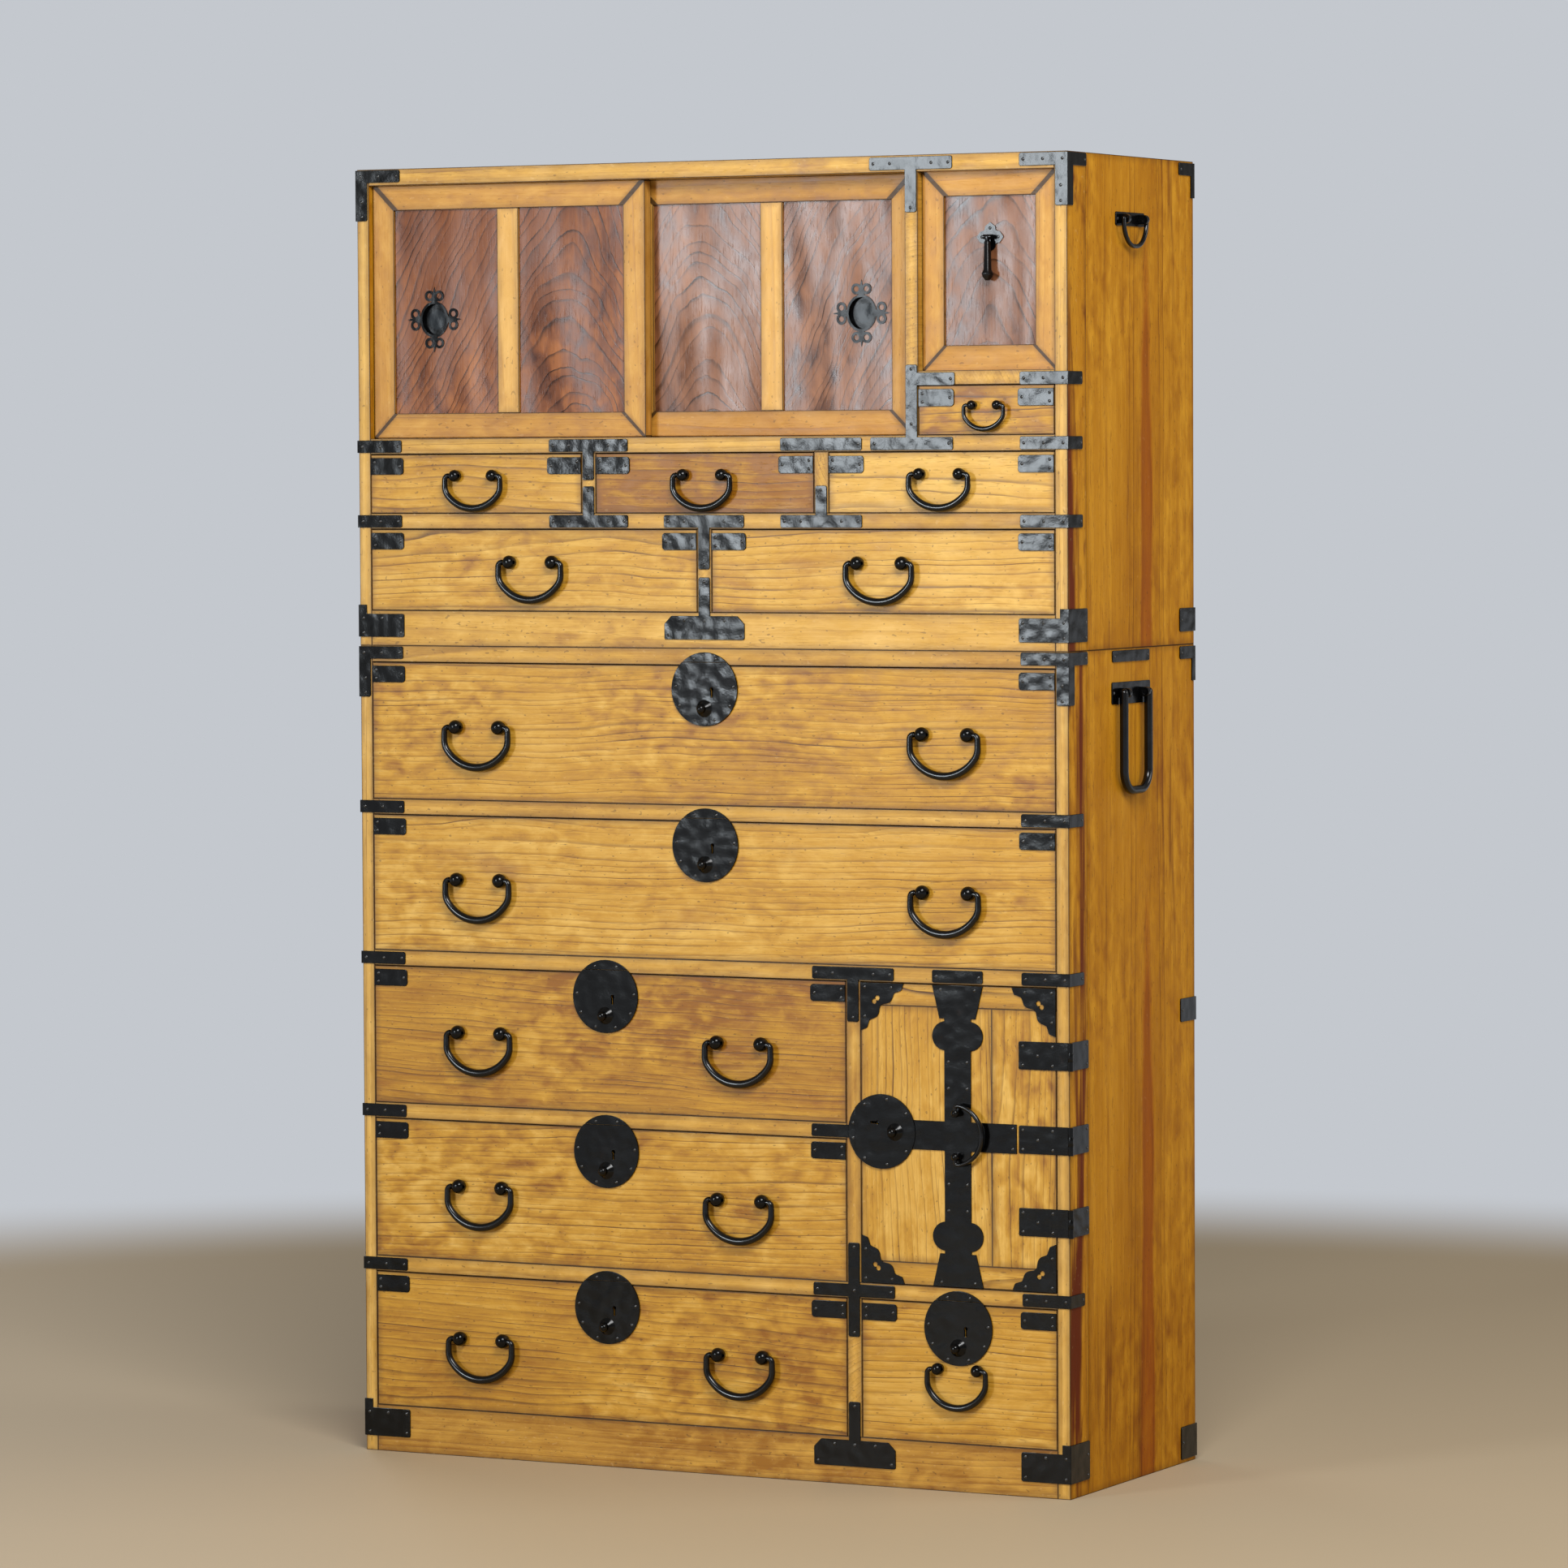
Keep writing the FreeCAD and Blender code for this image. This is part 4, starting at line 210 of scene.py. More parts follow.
def solids_of(mesh):
    """The separate solids of a CAD node, each as (points, triangles)."""
    points, corners = welded(mesh)
    one, other = touching(corners, len(points))
    label = np.arange(len(corners))
    while True:
        low = np.minimum(label[one], label[other])
        new = label.copy()
        np.minimum.at(new, one, low)
        np.minimum.at(new, other, low)
        new = new[new]
        if (new == label).all():
            break
        label = new
    found = []
    for name in np.unique(label):
        mine = corners[label == name]
        used, local = np.unique(mine, return_inverse=True)
        found.append((points[used], local.reshape(-1, 3)))
    return found


def bmesh_of(points, triangles):
    """A bmesh of one solid as it is."""
    mesh = bpy.data.meshes.new("solid")
    mesh.from_pydata(points.tolist(), [], triangles.tolist())
    bm = bmesh.new()
    bm.from_mesh(mesh)
    bpy.data.meshes.remove(mesh)
    return bm


def flat_faced(points, triangles):
    """A bmesh of one solid, its flat faces joined up."""
    bm = bmesh_of(points, triangles)
    bmesh.ops.dissolve_limit(bm, angle_limit=FLAT_TURN, use_dissolve_boundaries=False,
                             verts=bm.verts, edges=bm.edges)
    return bm


def shade(bm):
    """Faces of a curved surface are smooth; flat faces keep the direction that they have now."""
    facing = bm.faces.layers.float_vector.new("facing")
    bm.normal_update()
    for face in bm.faces:
        turns = [e.calc_face_angle(0) for e in face.edges if len(e.link_faces) == 2]
        face.smooth = any(FLAT_TURN < turn < SHARP_TURN for turn in turns)
        face[facing] = (0, 0, 0) if face.smooth else face.normal


def soften(bm, size):
    """Rounds the sharp edges of one solid."""
    shade(bm)
    sharp = [e for e in bm.edges if len(e.link_faces) == 2 and e.calc_face_angle(0) > SHARP_TURN]
    if not sharp:
        return
    made = bmesh.ops.bevel(bm, geom=sharp, offset=size, offset_type="OFFSET", segments=BEVEL_STEPS,
                           profile=0.5, affect="EDGES", clamp_overlap=True)["faces"]
    facing = bm.faces.layers.float_vector["facing"]
    for face in made:
        face.smooth = True
        face[facing] = (0, 0, 0)


class Piece:
    """Collects solids into one mesh object with the attributes its materials read."""

    def __init__(self, name):
        self.name = name
        self.points, self.faces, self.slots, self.facing = [], [], [], []
        self.values = {"grain": [], "place": [], "half": [], "tone": []}
        self.materials = []
        self.count = 0

    def slot_of(self, material):
        if material not in self.materials:
            self.materials.append(material)
        return self.materials.index(material)

    def add(self, bm, pick, grain, place, half, tone):
        """Adds a solid; pick(face) is the material of a face."""
        bm.verts.ensure_lookup_table()
        bm.normal_update()
        self.points += [tuple(v.co) for v in bm.verts]
        self.faces += [[self.count + v.index for v in f.verts] for f in bm.faces]
        self.slots += [self.slot_of(pick(f)) for f in bm.faces]
        facing = bm.faces.layers.float_vector.get("facing")
        for face in bm.faces:
            self.facing += [tuple(face[facing]) if facing else (0.0, 0.0, 0.0)] * len(face.verts)
        for key, rows in (("grain", grain), ("place", place), ("half", half), ("tone", tone)):
            self.values[key].append(np.asarray(rows, np.float32))
        self.count += len(bm.verts)

    def finish(self, body, nodes):
        """Makes the object, which rides on its body in place of CAD nodes."""
        mesh = bpy.data.meshes.new(self.name)
        mesh.from_pydata(self.points, [], self.faces)
        for material in self.materials:
            mesh.materials.append(material)
        mesh.polygons.foreach_set("material_index", self.slots)
        for key in ("grain", "place", "half"):
            layer = mesh.attributes.new(key, "FLOAT_VECTOR", "POINT")
            layer.data.foreach_set("vector", np.concatenate(self.values[key]).reshape(-1))
        layer = mesh.attributes.new("tone", "FLOAT", "POINT")
        layer.data.foreach_set("value", np.concatenate(self.values["tone"]).reshape(-1))
        mesh.polygons.foreach_set("use_smooth", [True] * len(mesh.polygons))
        mesh.set_sharp_from_angle(angle=SMOOTH_TURN)
        mesh.update()
        mesh.normals_split_custom_set(self.facing)
        obj = bpy.data.objects.new(self.name, mesh)
        bpy.context.scene.collection.objects.link(obj)
        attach(obj, body)
        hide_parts(*nodes)


# ---------------------------------------------------------------- materials
def tint(rgb):
    """Linear colour of an sRGB one out of 255."""
    shares = [value / 255 for value in rgb]
    return (*(s / 12.92 if s <= 0.04045 else ((s + 0.055) / 1.055) ** 2.4 for s in shares), 1.0)


class Nodes:
    """A short way to write a node tree."""

    def __init__(self, name):
        self.material = bpy.data.materials.new(name)
        self.material.use_nodes = True
        self.tree = self.material.node_tree
        self.tree.nodes.clear()
        self.out = self.tree.nodes.new("ShaderNodeOutputMaterial")

    def put(self, socket, value):
        if isinstance(value, bpy.types.NodeSocket):
            self.tree.links.new(value, socket)
        else:
            socket.default_value = value

    def node(self, kind, values=(), **settings):
        node = self.tree.nodes.new(kind)
        for key, value in settings.items():
            setattr(node, key, value)
        for key, value in dict(values).items():
            self.put(node.inputs[key], value)
        return node

    def attribute(self, name):
        return self.node("ShaderNodeAttribute", attribute_name=name)

    def maths(self, operation, a, b=0.0, c=0.0):
        return self.node("ShaderNodeMath", {0: a, 1: b, 2: c}, operation=operation).outputs[0]

    def add(self, *terms):
        total = terms[0]
        for term in terms[1:]:
            total = self.maths("ADD", total, term)
        return total

    def scaled(self, value, factor, offset=0.0):
        return self.maths("MULTIPLY_ADD", value, factor, offset)

    def swing(self, value, factor, middle=0.0):
        """A value around a half, scaled and made to swing around middle."""
        return self.scaled(self.maths("SUBTRACT", value, 0.5), factor, middle)

    def vector(self, operation, a, b=(0, 0, 0)):
        return self.node("ShaderNodeVectorMath", {0: a, 1: b}, operation=operation).outputs[0]

    def split(self, vector):
        return self.node("ShaderNodeSeparateXYZ", {0: vector}).outputs

    def noise(self, vector, scale, detail=2.0, rough=0.5, distortion=0.0, shift=None):
        """Noise from 0 to 1 on a vector that is shifted and then stretched."""
        if shift is not None:
            vector = self.vector("ADD", vector, shift)
        moved = self.vector("MULTIPLY", vector, scale)
        return self.node("ShaderNodeTexNoise", {"Vector": moved, "Scale": 1.0, "Detail": detail,
                                                "Roughness": rough, "Distortion": distortion},
                         noise_dimensions="3D").outputs[0]

    def ramp(self, value, low, high, to_low=0.0, to_high=1.0):
        return self.node("ShaderNodeMapRange", {0: value, 1: low, 2: high, 3: to_low, 4: to_high},
                         interpolation_type="SMOOTHSTEP").outputs[0]

    def patches(self, vector, noise, reach):
        """Where a noise is high: 0 below the start of reach, 1 above its end."""
        return self.ramp(self.noise(vector, *noise), *reach)

    def mix(self, share, a, b):
        """One colour over another; its sockets are 6, 7 and 2 among those of all data types."""
        node = self.node("ShaderNodeMix", data_type="RGBA", blend_type="MIX")
        self.put(node.inputs[0], share)
        self.put(node.inputs[6], a)
        self.put(node.inputs[7], b)
        return node.outputs[2]

    def covered(self, base, cover, share, rgb):
        """base where cover is 0, with a share of a colour over it where cover is 1."""
        return self.mix(self.scaled(cover, share), base, tint(rgb))

    def colour(self, stops, value):
        """A colour ramp through stops: (place, (r, g, b) out of 255)."""
        node = self.node("ShaderNodeValToRGB", {0: value})
        ramp = node.color_ramp
        ramp.elements.remove(ramp.elements[1])
        for index, (place, rgb) in enumerate(stops):
            element = ramp.elements[0] if index == 0 else ramp.elements.new(place)
            element.position = place
            element.color = tint(rgb)
        return node.outputs[0]

    def principled(self, colour, gloss, bumped, shine):
        """Ends the tree in a plain shader and gives back the material."""
        shader = self.node("ShaderNodeBsdfPrincipled", {"Base Color": colour, "Roughness": gloss,
                                                        "Normal": bumped, "Specular IOR Level": shine,
                                                        "Metallic": 0.0})
        self.put(self.out.inputs[0], shader.outputs[0])
        return self.material


def pith_distance(n, grain, warp, taper, wave):
    """The distance from the pith, bent by noise along the board."""
    along, across, deep = n.split(grain)
    radius = n.maths("SQRT", n.add(n.maths("MULTIPLY", across, across), n.maths("MULTIPLY", deep, deep)))
    slow = n.noise(grain, *SLOW_BEND)
    quick = n.noise(grain, *QUICK_BEND)
    radius = n.add(radius, n.scaled(along, taper), n.scaled(slow, warp), n.scaled(quick, warp * FINE_BEND))
    if wave:
        ripple = n.noise(grain, *RIPPLE)
        fine_ripple = n.noise(grain, *FINE_RIPPLE)
        radius = n.add(radius, n.scaled(ripple, wave), n.scaled(fine_ripple, wave * FINE_BEND))
    return radius


def growth_rings(n, grain, radius, spacing, even, flame):
    """Where each point lies in its ring, and how much of the ring's dark line covers it."""
    ring = n.maths("DIVIDE", radius, spacing)
    drift = n.noise(n.node("ShaderNodeCombineXYZ", {0: ring}).outputs[0], *DRIFT)
    ring = n.add(ring, n.scaled(drift, RING_DRIFT))
    share = n.maths("FRACT", ring)
    own = n.node("ShaderNodeTexWhiteNoise", {"W": n.maths("FLOOR", ring)}, noise_dimensions="1D").outputs[0]
    line = n.maths("MULTIPLY", n.ramp(share, *LINE_RISE), n.ramp(share, *LINE_FALL, 1.0, 0.0))
    if flame:
        line = n.maths("MULTIPLY", line, n.ramp(radius, flame["near"], flame["far"], 1.0, FAR_LINES))
    least = LINE_LEAST + LINE_EVEN * even
    line = n.maths("MULTIPLY", n.maths("POWER", line, LINE_SHARP),
                   n.scaled(n.maths("POWER", own, LINE_RARE), 1 - least, least))
    broken = n.noise(grain, *BROKEN)
    return share, n.maths("MULTIPLY", line, n.ramp(broken, *BROKEN_AT, least, 1.0))


def edge_distance(n, half, place, mitred):
    """The distance along the surface to the board's nearest edge, or to its mitre."""
    near = [n.maths("SUBTRACT", h, n.maths("ABSOLUTE", p)) for h, p in zip(n.split(half), n.split(place))]
    pair = n.maths("MINIMUM", n.maths("MAXIMUM", near[0], near[1]), near[2])
    rim = n.maths("MAXIMUM", n.maths("MINIMUM", near[0], near[1]), pair)
    if mitred:
        outer = n.maths("SUBTRACT", n.split(half)[1], n.split(place)[1])
        rim = n.maths("MINIMUM", rim, n.scaled(n.maths("SUBTRACT", near[0], outer), MITRE_THIN))
    return rim


def edges_shade_and_specks(n, grain, body, rim, edge_dark_and_specks, even):
    """Darkening along the edges, dark joint lines with painted shade in the gaps between boards, and specks.
    """
    # Darker along each board's edges, ragged by noise
    edge_dark = n.maths("MULTIPLY_ADD", n.noise(grain, *EDGE_DARK_NOISE), EDGE_DARK_RAGGED, rim)
    body = n.covered(body, n.ramp(edge_dark, *EDGE_DARK_REACH, 1.0, 0.0), EDGE_DARK_SHARE * edge_dark_and_specks, EDGE_DARK_RGB)
    # Dark joint lines along every edge of a board, which are also painted shade in the gaps where boards meet
    body = n.covered(body, n.ramp(rim, *JOINT_AND_GAP_SHADE_REACH, 1.0, 0.0), JOINT_AND_GAP_SHADE_SHARE, JOINT_AND_GAP_SHADE_RGB)
    body = n.covered(body, n.patches(grain, SPECKS, SPECKS_AT), SPECK_SHARE * edge_dark_and_specks, SPECK_RGB)
    pale = n.patches(grain, PALE_SPECKS, PALE_AT)
    return n.covered(body, pale, PALE_SHARE * edge_dark_and_specks * (1 - even), PALE_RGB)


def wood(name, light, middle, dark, line_rgb, spacing, strength, warp, taper, wave=0.0, fibre=0.5,
         mottle=0.5, stain=0.5, stain_rgb=(132, 74, 26), pores=0.5, edge_dark_and_specks=0.5, rough=0.42, shine=0.3,
         wear=0.0, streak=0.0, even=0.0, flame=None, sag=0.0, mitred=False):
    """A board's surface. The attributes grain, place and half say where a point lies from the pith and from
    the board's middle, and half the board's size. spacing is the rings', strength their dark lines', warp
    and wave bend them, taper slants them; even makes them alike; flame is a red core with lines round it.
    fibre, mottle, stain, pores, wear and streak say how much of each there is, and so does the amount that
    darkens the edges and adds specks. sag is how deep the surface's slow hollows are, and mitred draws a dark
    line where boards meet at a mitre."""
    n = Nodes(name)
    grain, place, half = (n.attribute(key).outputs["Vector"] for key in ("grain", "place", "half"))
    tone = n.attribute("tone").outputs["Fac"]
    radius = pith_distance(n, grain, warp, taper, wave)
    share, line = growth_rings(n, grain, radius, spacing, even, flame)
    early = n.ramp(share, *EARLY_FADE, *EARLY_SWING)
    strands = n.noise(grain, *STRANDS)
    bands = n.noise(grain, *BANDS)
    pore = n.maths("MULTIPLY", n.patches(grain, DASHES, DASHES_AT),
                   n.ramp(share, *PORE_FADE, 1.0, LATE_PORES))

    spots = n.noise(grain, *SPOTS)
    spotted = n.patches(grain, SPOTTED, SPOTTED_AT)
    shade_of = n.swing(n.noise(grain, *CLOUDS), CLOUD_SHADE * mottle, MIDDLE_AT)
    shade_of = n.add(shade_of, n.swing(n.noise(grain, *FLECKS), FLECK_SHADE * mottle * (1 - even)))
    if streak:
        shade_of = n.add(shade_of, n.swing(n.noise(grain, *STRIPES), streak))
    shade_of = n.add(shade_of, n.swing(bands, BAND_SHADE * fibre), n.swing(strands, STRAND_SHADE * fibre),
                     n.scaled(n.maths("MULTIPLY", n.maths("SUBTRACT", spots, 0.5), spotted),
                              SPOT_SHADE * mottle),
                     n.scaled(early, EARLY_SHADE), n.scaled(tone, TONE_SHADE))
    body = n.colour(((DARK_AT, dark), (MIDDLE_AT, middle), (LIGHT_AT, light)), shade_of)

    body = n.covered(body, n.patches(grain, STAINED, STAINED_AT), stain, stain_rgb)
    if flame:
        core = n.ramp(radius, flame["core"] - FLAME_EDGE, flame["core"] + FLAME_EDGE, FLAME_SHARE, 0.0)
        body = n.mix(core, body, tint(flame["rgb"]))
    if wear:
        rubbed_at = [edge - more * wear for edge, more in zip(RUBBED_AT, RUBBED_MORE)]
        body = n.covered(body, n.patches(grain, RUBBED, rubbed_at), min(wear, 1.0), WEAR_RGB)
    body = n.covered(body, line, strength, line_rgb)
    body = n.covered(body, pore, pores, line_rgb)
    body = edges_shade_and_specks(n, grain, body, edge_distance(n, half, place, mitred), edge_dark_and_specks, even)

    height = n.add(n.scaled(line, LINE_RELIEF), n.scaled(strands, STRAND_RELIEF),
                   n.scaled(pore, PORE_RELIEF), n.scaled(spots, SPOT_RELIEF))
    if sag:
        height = n.add(height, n.scaled(n.noise(grain, *HOLLOWS), sag))
    bumped = n.node("ShaderNodeBump", {"Strength": WOOD_BUMP, "Distance": WOOD_RELIEF, "Height": height})
    gloss = n.add(n.scaled(spots, SPOT_GLOSS, rough - SPOT_GLOSS / 2), n.scaled(line, LINE_GLOSS))
    return n.principled(body, gloss, bumped.outputs[0], shine)


def iron(name, dark, worn_and_glint, shine, rough=0.40, dents=1.0, cup_sheen=None):
    """Hammered blackened iron with grey wear, which on nails is paler and partly a painted glint; the last
    argument gives the radius and colour of a paler, bluish middle, a painted sheen.
    """
    n = Nodes(name)
    at = n.node("ShaderNodeTexCoord").outputs["Object"]
    hammer = n.noise(at, *HAMMER)
    small = n.noise(at, *SMALL_DENTS)
    grit = n.noise(at, *GRIT)
    patch = n.noise(at, *PATCHES)
    worn_and_glint_mask = n.ramp(n.add(n.scaled(small, WORN_AND_GLINT_DENTS), n.scaled(patch, WORN_AND_GLINT_PATCHES)), *WORN_AND_GLINT_AT)
    base = n.covered(tint(dark), worn_and_glint_mask, WORN_AND_GLINT_SHARE, worn_and_glint)
    base = n.covered(base, n.patches(at, RUST, RUST_AT), RUST_SHARE, RUST_RGB)
    # A paler, bluish middle painted as a sheen
    if cup_sheen is not None:
        reach, rgb = cup_sheen
        sideways, upright, _ = n.split(n.attribute("place").outputs["Vector"])
        centre = n.node("ShaderNodeCombineXYZ", {0: sideways, 1: upright}).outputs[0]
        far = n.node("ShaderNodeVectorMath", {0: centre}, operation="LENGTH").outputs["Value"]
        base = n.mix(n.ramp(far, reach, reach + CUP_SHEEN_EDGE, CUP_SHEEN_SHARE, 0.0), base, tint(rgb))
    height = n.add(hammer, n.scaled(small, SMALL_RELIEF), n.scaled(grit, GRIT_RELIEF))
    bumped = n.node("ShaderNodeBump", {"Strength": IRON_BUMP * dents, "Distance": IRON_RELIEF,
                                       "Height": height})
    return n.principled(base, n.scaled(patch, PATCH_GLOSS, rough - PATCH_GLOSS / 2), bumped.outputs[0], shine)


FRONT_WOOD = wood("kiri_front", (220, 174, 84), (192, 140, 38), (142, 88, 8), (70, 36, 8),
                  spacing=0.0075, strength=1.0, warp=0.040, taper=0.015, wave=0.006, fibre=0.65,
                  mottle=0.65, stain=0.6, pores=0.35, edge_dark_and_specks=0.6, shine=0.35, even=0.3)
RAIL_WOOD = wood("kiri_rail", (224, 178, 92), (200, 150, 56), (150, 98, 16), (90, 50, 12),
                 spacing=0.0055, strength=0.6, warp=0.015, taper=0.008, fibre=0.6, mottle=0.45,
                 stain=0.3, pores=0.3, edge_dark_and_specks=0.6, shine=0.35)
TOP_WOOD = wood("kiri_top", (210, 156, 58), (184, 130, 34), (140, 86, 12), (84, 44, 10),
                spacing=0.0110, strength=0.8, warp=0.030, taper=0.015, mottle=0.6, stain=0.4,
                pores=0.3, edge_dark_and_specks=0.6, rough=0.6, shine=0.10, even=0.3)
SIDE_WOOD = wood("kiri_side", (200, 142, 36), (172, 114, 18), (132, 74, 6), (84, 34, 5),
                 spacing=0.0170, strength=0.95, warp=0.036, taper=0.006, fibre=0.35, stain=0.30,
                 stain_rgb=(130, 66, 10), shine=0.06, wear=0.7, rough=0.5, streak=1.0, even=0.4,
                 flame={"core": 0.050, "near": 0.060, "far": 0.110, "rgb": (146, 68, 8)})
POST_WOOD = wood("kiri_post", (200, 142, 36), (172, 114, 18), (128, 70, 6), (84, 34, 5),
                 spacing=0.0110, strength=0.6, warp=0.030, taper=0.022, fibre=0.4, stain=2.0,
                 stain_rgb=(98, 42, 10), shine=0.06, wear=1.2, rough=0.5, streak=1.2)
FRAME_WOOD = wood("door_frame", (208, 158, 78), (186, 132, 50), (152, 98, 26), (116, 68, 24),
                  spacing=0.0065, strength=0.35, warp=0.010, taper=0.008, fibre=0.4, mottle=0.45,
                  stain=0.25, pores=0.2, mitred=True)
MUNTIN_WOOD = wood("door_muntin", (222, 174, 96), (200, 148, 66), (158, 104, 32), (116, 68, 24),
                   spacing=0.0065, strength=0.35, warp=0.010, taper=0.008, fibre=0.4, mottle=0.4,
                   stain=0.2, pores=0.2)
PANEL = dict(spacing=0.0105, strength=1.0, warp=0.020, taper=0.50, wave=0.050, fibre=0.3, pores=0.1,
             edge_dark_and_specks=0.3, even=0.6)
RED_PANEL = wood("keyaki_red", (156, 94, 46), (116, 64, 30), (62, 28, 14), (22, 10, 6), mottle=0.7,
                 stain=0.6, stain_rgb=(46, 20, 13), rough=0.30, shine=0.22, sag=45.0, **PANEL)
GREY_PANEL = wood("keyaki_grey", (144, 94, 60), (112, 70, 44), (60, 34, 25), (16, 9, 7), mottle=0.8,
                  stain=0.7, stain_rgb=(40, 21, 17), rough=0.28, shine=0.34, sag=85.0, **PANEL)
INSIDE_WOOD = wood("kiri_inside", (212, 178, 118), (192, 154, 94), (164, 122, 68), (118, 80, 44),
                   spacing=0.0070, strength=0.4, warp=0.02, taper=0.02, rough=0.6, shine=0.12)
# The walls inside a keyhole are painted near-black: painted shade
KEYHOLE_PAINTED_SHADE = iron("keyhole", dark=(10, 8, 7), worn_and_glint=(18, 14, 12), shine=0.1)
BLACK_IRON = iron("black_iron", dark=(4, 4, 4), worn_and_glint=(16, 17, 18), shine=0.26, rough=0.18)
# Nails: paler grey tops, partly wear and partly a painted glint
NAIL_WEAR_AND_GLINT_IRON = iron("nail_wear_and_glint", dark=(10, 10, 10), worn_and_glint=(80, 84, 88), shine=0.9, rough=0.28, dents=0.3)
BOW_IRON = iron("bow_iron", dark=(4, 4, 5), worn_and_glint=(16, 18, 20), shine=0.40, rough=0.22, dents=0.3)
# The middle of each pull is paler and bluish: a painted sheen
CUP_IRON = iron("cup_iron", dark=(5, 5, 6), worn_and_glint=(18, 20, 22), shine=0.13, rough=0.22,
                cup_sheen=(0.0105, (26, 30, 34)))

# ---------------------------------------------------------------- dressing the CAD
rng = random.Random(SEED)


def board_rows(bm, axis, pith, tone, middle):
    """Attributes of one board, its grain along axis or its length. Across the grain, they count away from
    middle, where one is given. A pith or tone of None is drawn."""
    points = np.array([v.co for v in bm.verts])
    low, high = points.min(0), points.max(0)
    size = high - low
    order = list(np.argsort(-size))
    if axis is not None:
        order.remove(axis)
        order.insert(0, axis)
    place = (points - (low + high) / 2)[:, order]
    if middle is not None and (low + high)[order[1]] / 2 < middle[order[1]]:
        place[:, 1] *= -1
    half = size[order] / 2
    if pith is None:
        away = rng.choice((-1, 1)) * rng.uniform(*ANY_PITH_AWAY) * size[order[1]]
        pith = (rng.uniform(*ANY_PITH_ALONG), away, rng.choice((-1, 1)) * rng.uniform(*ANY_PITH_DEEP))
    if tone is None:
        tone = rng.uniform(*ANY_TONES)
    return place + np.array(pith), place, np.tile(half, (len(points), 1)), np.full(len(points), tone)


def dress_wood(node, body, slot, choose):
    """choose(low, high, size) gives the pick(face) of a board, its grain axis, its pith and its tone."""
    piece = Piece(node + "_wood")
    low_corner, high_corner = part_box(node)
    middle = (low_corner + high_corner) / 2 if slot == "door_wood" else None
    for points, triangles in solids_of(frame["nodes"][node].data):
        bm = flat_faced(points, triangles)
        pick, axis, pith, tone = choose(points.min(0), points.max(0), points.max(0) - points.min(0))
        soften(bm, WOOD_BEVEL)
        piece.add(bm, pick, *board_rows(bm, axis, pith, tone, middle))
        bm.free()
    piece.finish(body, [node])


def iron_of(points, triangles):
    """A curved piece is shaded smooth; one of flat faces has its edges softened."""
    bm = flat_faced(points, triangles)
    if len(bm.faces) > CURVED_FACES:
        bm.free()
        bm = bmesh_of(points, triangles)
        shade(bm)
    else:
        soften(bm, IRON_BEVEL)
    return bm


def dress_iron(node, body, material):
    """Dresses a node's solids: pulls are drawn anew, nails are of their own iron, whose paler grey is partly
    a painted glint.
    """
    piece = Piece(node + "_dressed")
    solids = solids_of(frame["nodes"][node].data)
    low = np.min([points.min(0) for points, _ in solids], axis=0)
    high = np.max([points.max(0) for points, _ in solids], axis=0)
    sideways_up_deep = [0, 2, 1]
    half = (high - low)[sideways_up_deep] / 2
    for points, triangles in solids:
        bm = bow_of(points, SWINGS[node]) if node in SWINGS else iron_of(points, triangles)
        own = NAIL_WEAR_AND_GLINT_IRON if (points.max(0) - points.min(0)).max() < NAIL_SIZE else material
        at = (np.array([v.co for v in bm.verts]) - (low + high) / 2)[:, sideways_up_deep]
        piece.add(bm, plain(own), at, at, np.tile(half, (len(at), 1)), np.zeros(len(at)))
        bm.free()
    piece.finish(body, [node])


def arc(centre, radius, first, last):
    """Points of an arc; the angle is measured from straight out to the side, down is positive."""
    turns = [first + (last - first) * i / BOW_STEPS for i in range(BOW_STEPS + 1)]
    return [(centre[0] + radius * math.cos(t), centre[1] + radius * math.sin(t)) for t in turns]


def bow_line(start, half_w, low, shape):
    """Half of a bow's middle line, from where its pin starts to its lowest point."""
    bend_r = half_w - start
    fall_share, side_share = shape
    fall, side_r = max(bend_r, fall_share * low), side_share * low
    across, rest = half_w - side_r, low - fall
    base_r = (across ** 2 + rest ** 2 - side_r ** 2) / (2 * (rest - side_r))
    lean = math.atan2(fall - (low - base_r), across)
    line = arc((start, bend_r), bend_r, -math.pi / 2, 0)
    line += arc((across, fall), side_r, 0, lean)
    return line + arc((0, low - base_r), base_r, lean, math.pi / 2)[1:]


def bow_of(points, joint):
    """A pull as in the CAD, but slim at its ends and thick at its lowest point."""
    centre, side = np.array(joint["pos_m"]), np.array(joint["axis"], float)
    level = abs(side[0]) > 0.5
    down = np.array((0.0, 0.0, -1.0)) if level else np.array((1.0, 0.0, 0.0))
    deep = np.cross(side, down)
    at = points - centre
    sides, downs, deeps = np.abs(at @ side), at @ down, at @ deep
    rod_r = (deeps.max() - deeps.min()) / 2
    reach = np.hypot(downs, deeps)
    start = sides[(reach > BOW_PIN_R * PIN_SLACK) & (reach < rod_r * ROD_SLACK)].min()
    low = downs.max() - rod_r
    rings = [((start - BOW_PIN_L, 0.0), 0.0), ((start - BOW_PIN_L, 0.0), BOW_PIN_R),
             ((start, 0.0), BOW_PIN_R)]
    for place in bow_line(start, sides.max() - rod_r, low, BOW_SHAPE if level else DOOR_BOW_SHAPE):
        share = place[1] / low
        rings.append((place, rod_r * (BOW_ENDS + (BOW_MIDDLE - BOW_ENDS) * share ** BOW_SWELL)))
    rings += [((-x, z), r) for (x, z), r in reversed(rings[:-1])]
    return swept(rings, centre, side, down, deep)


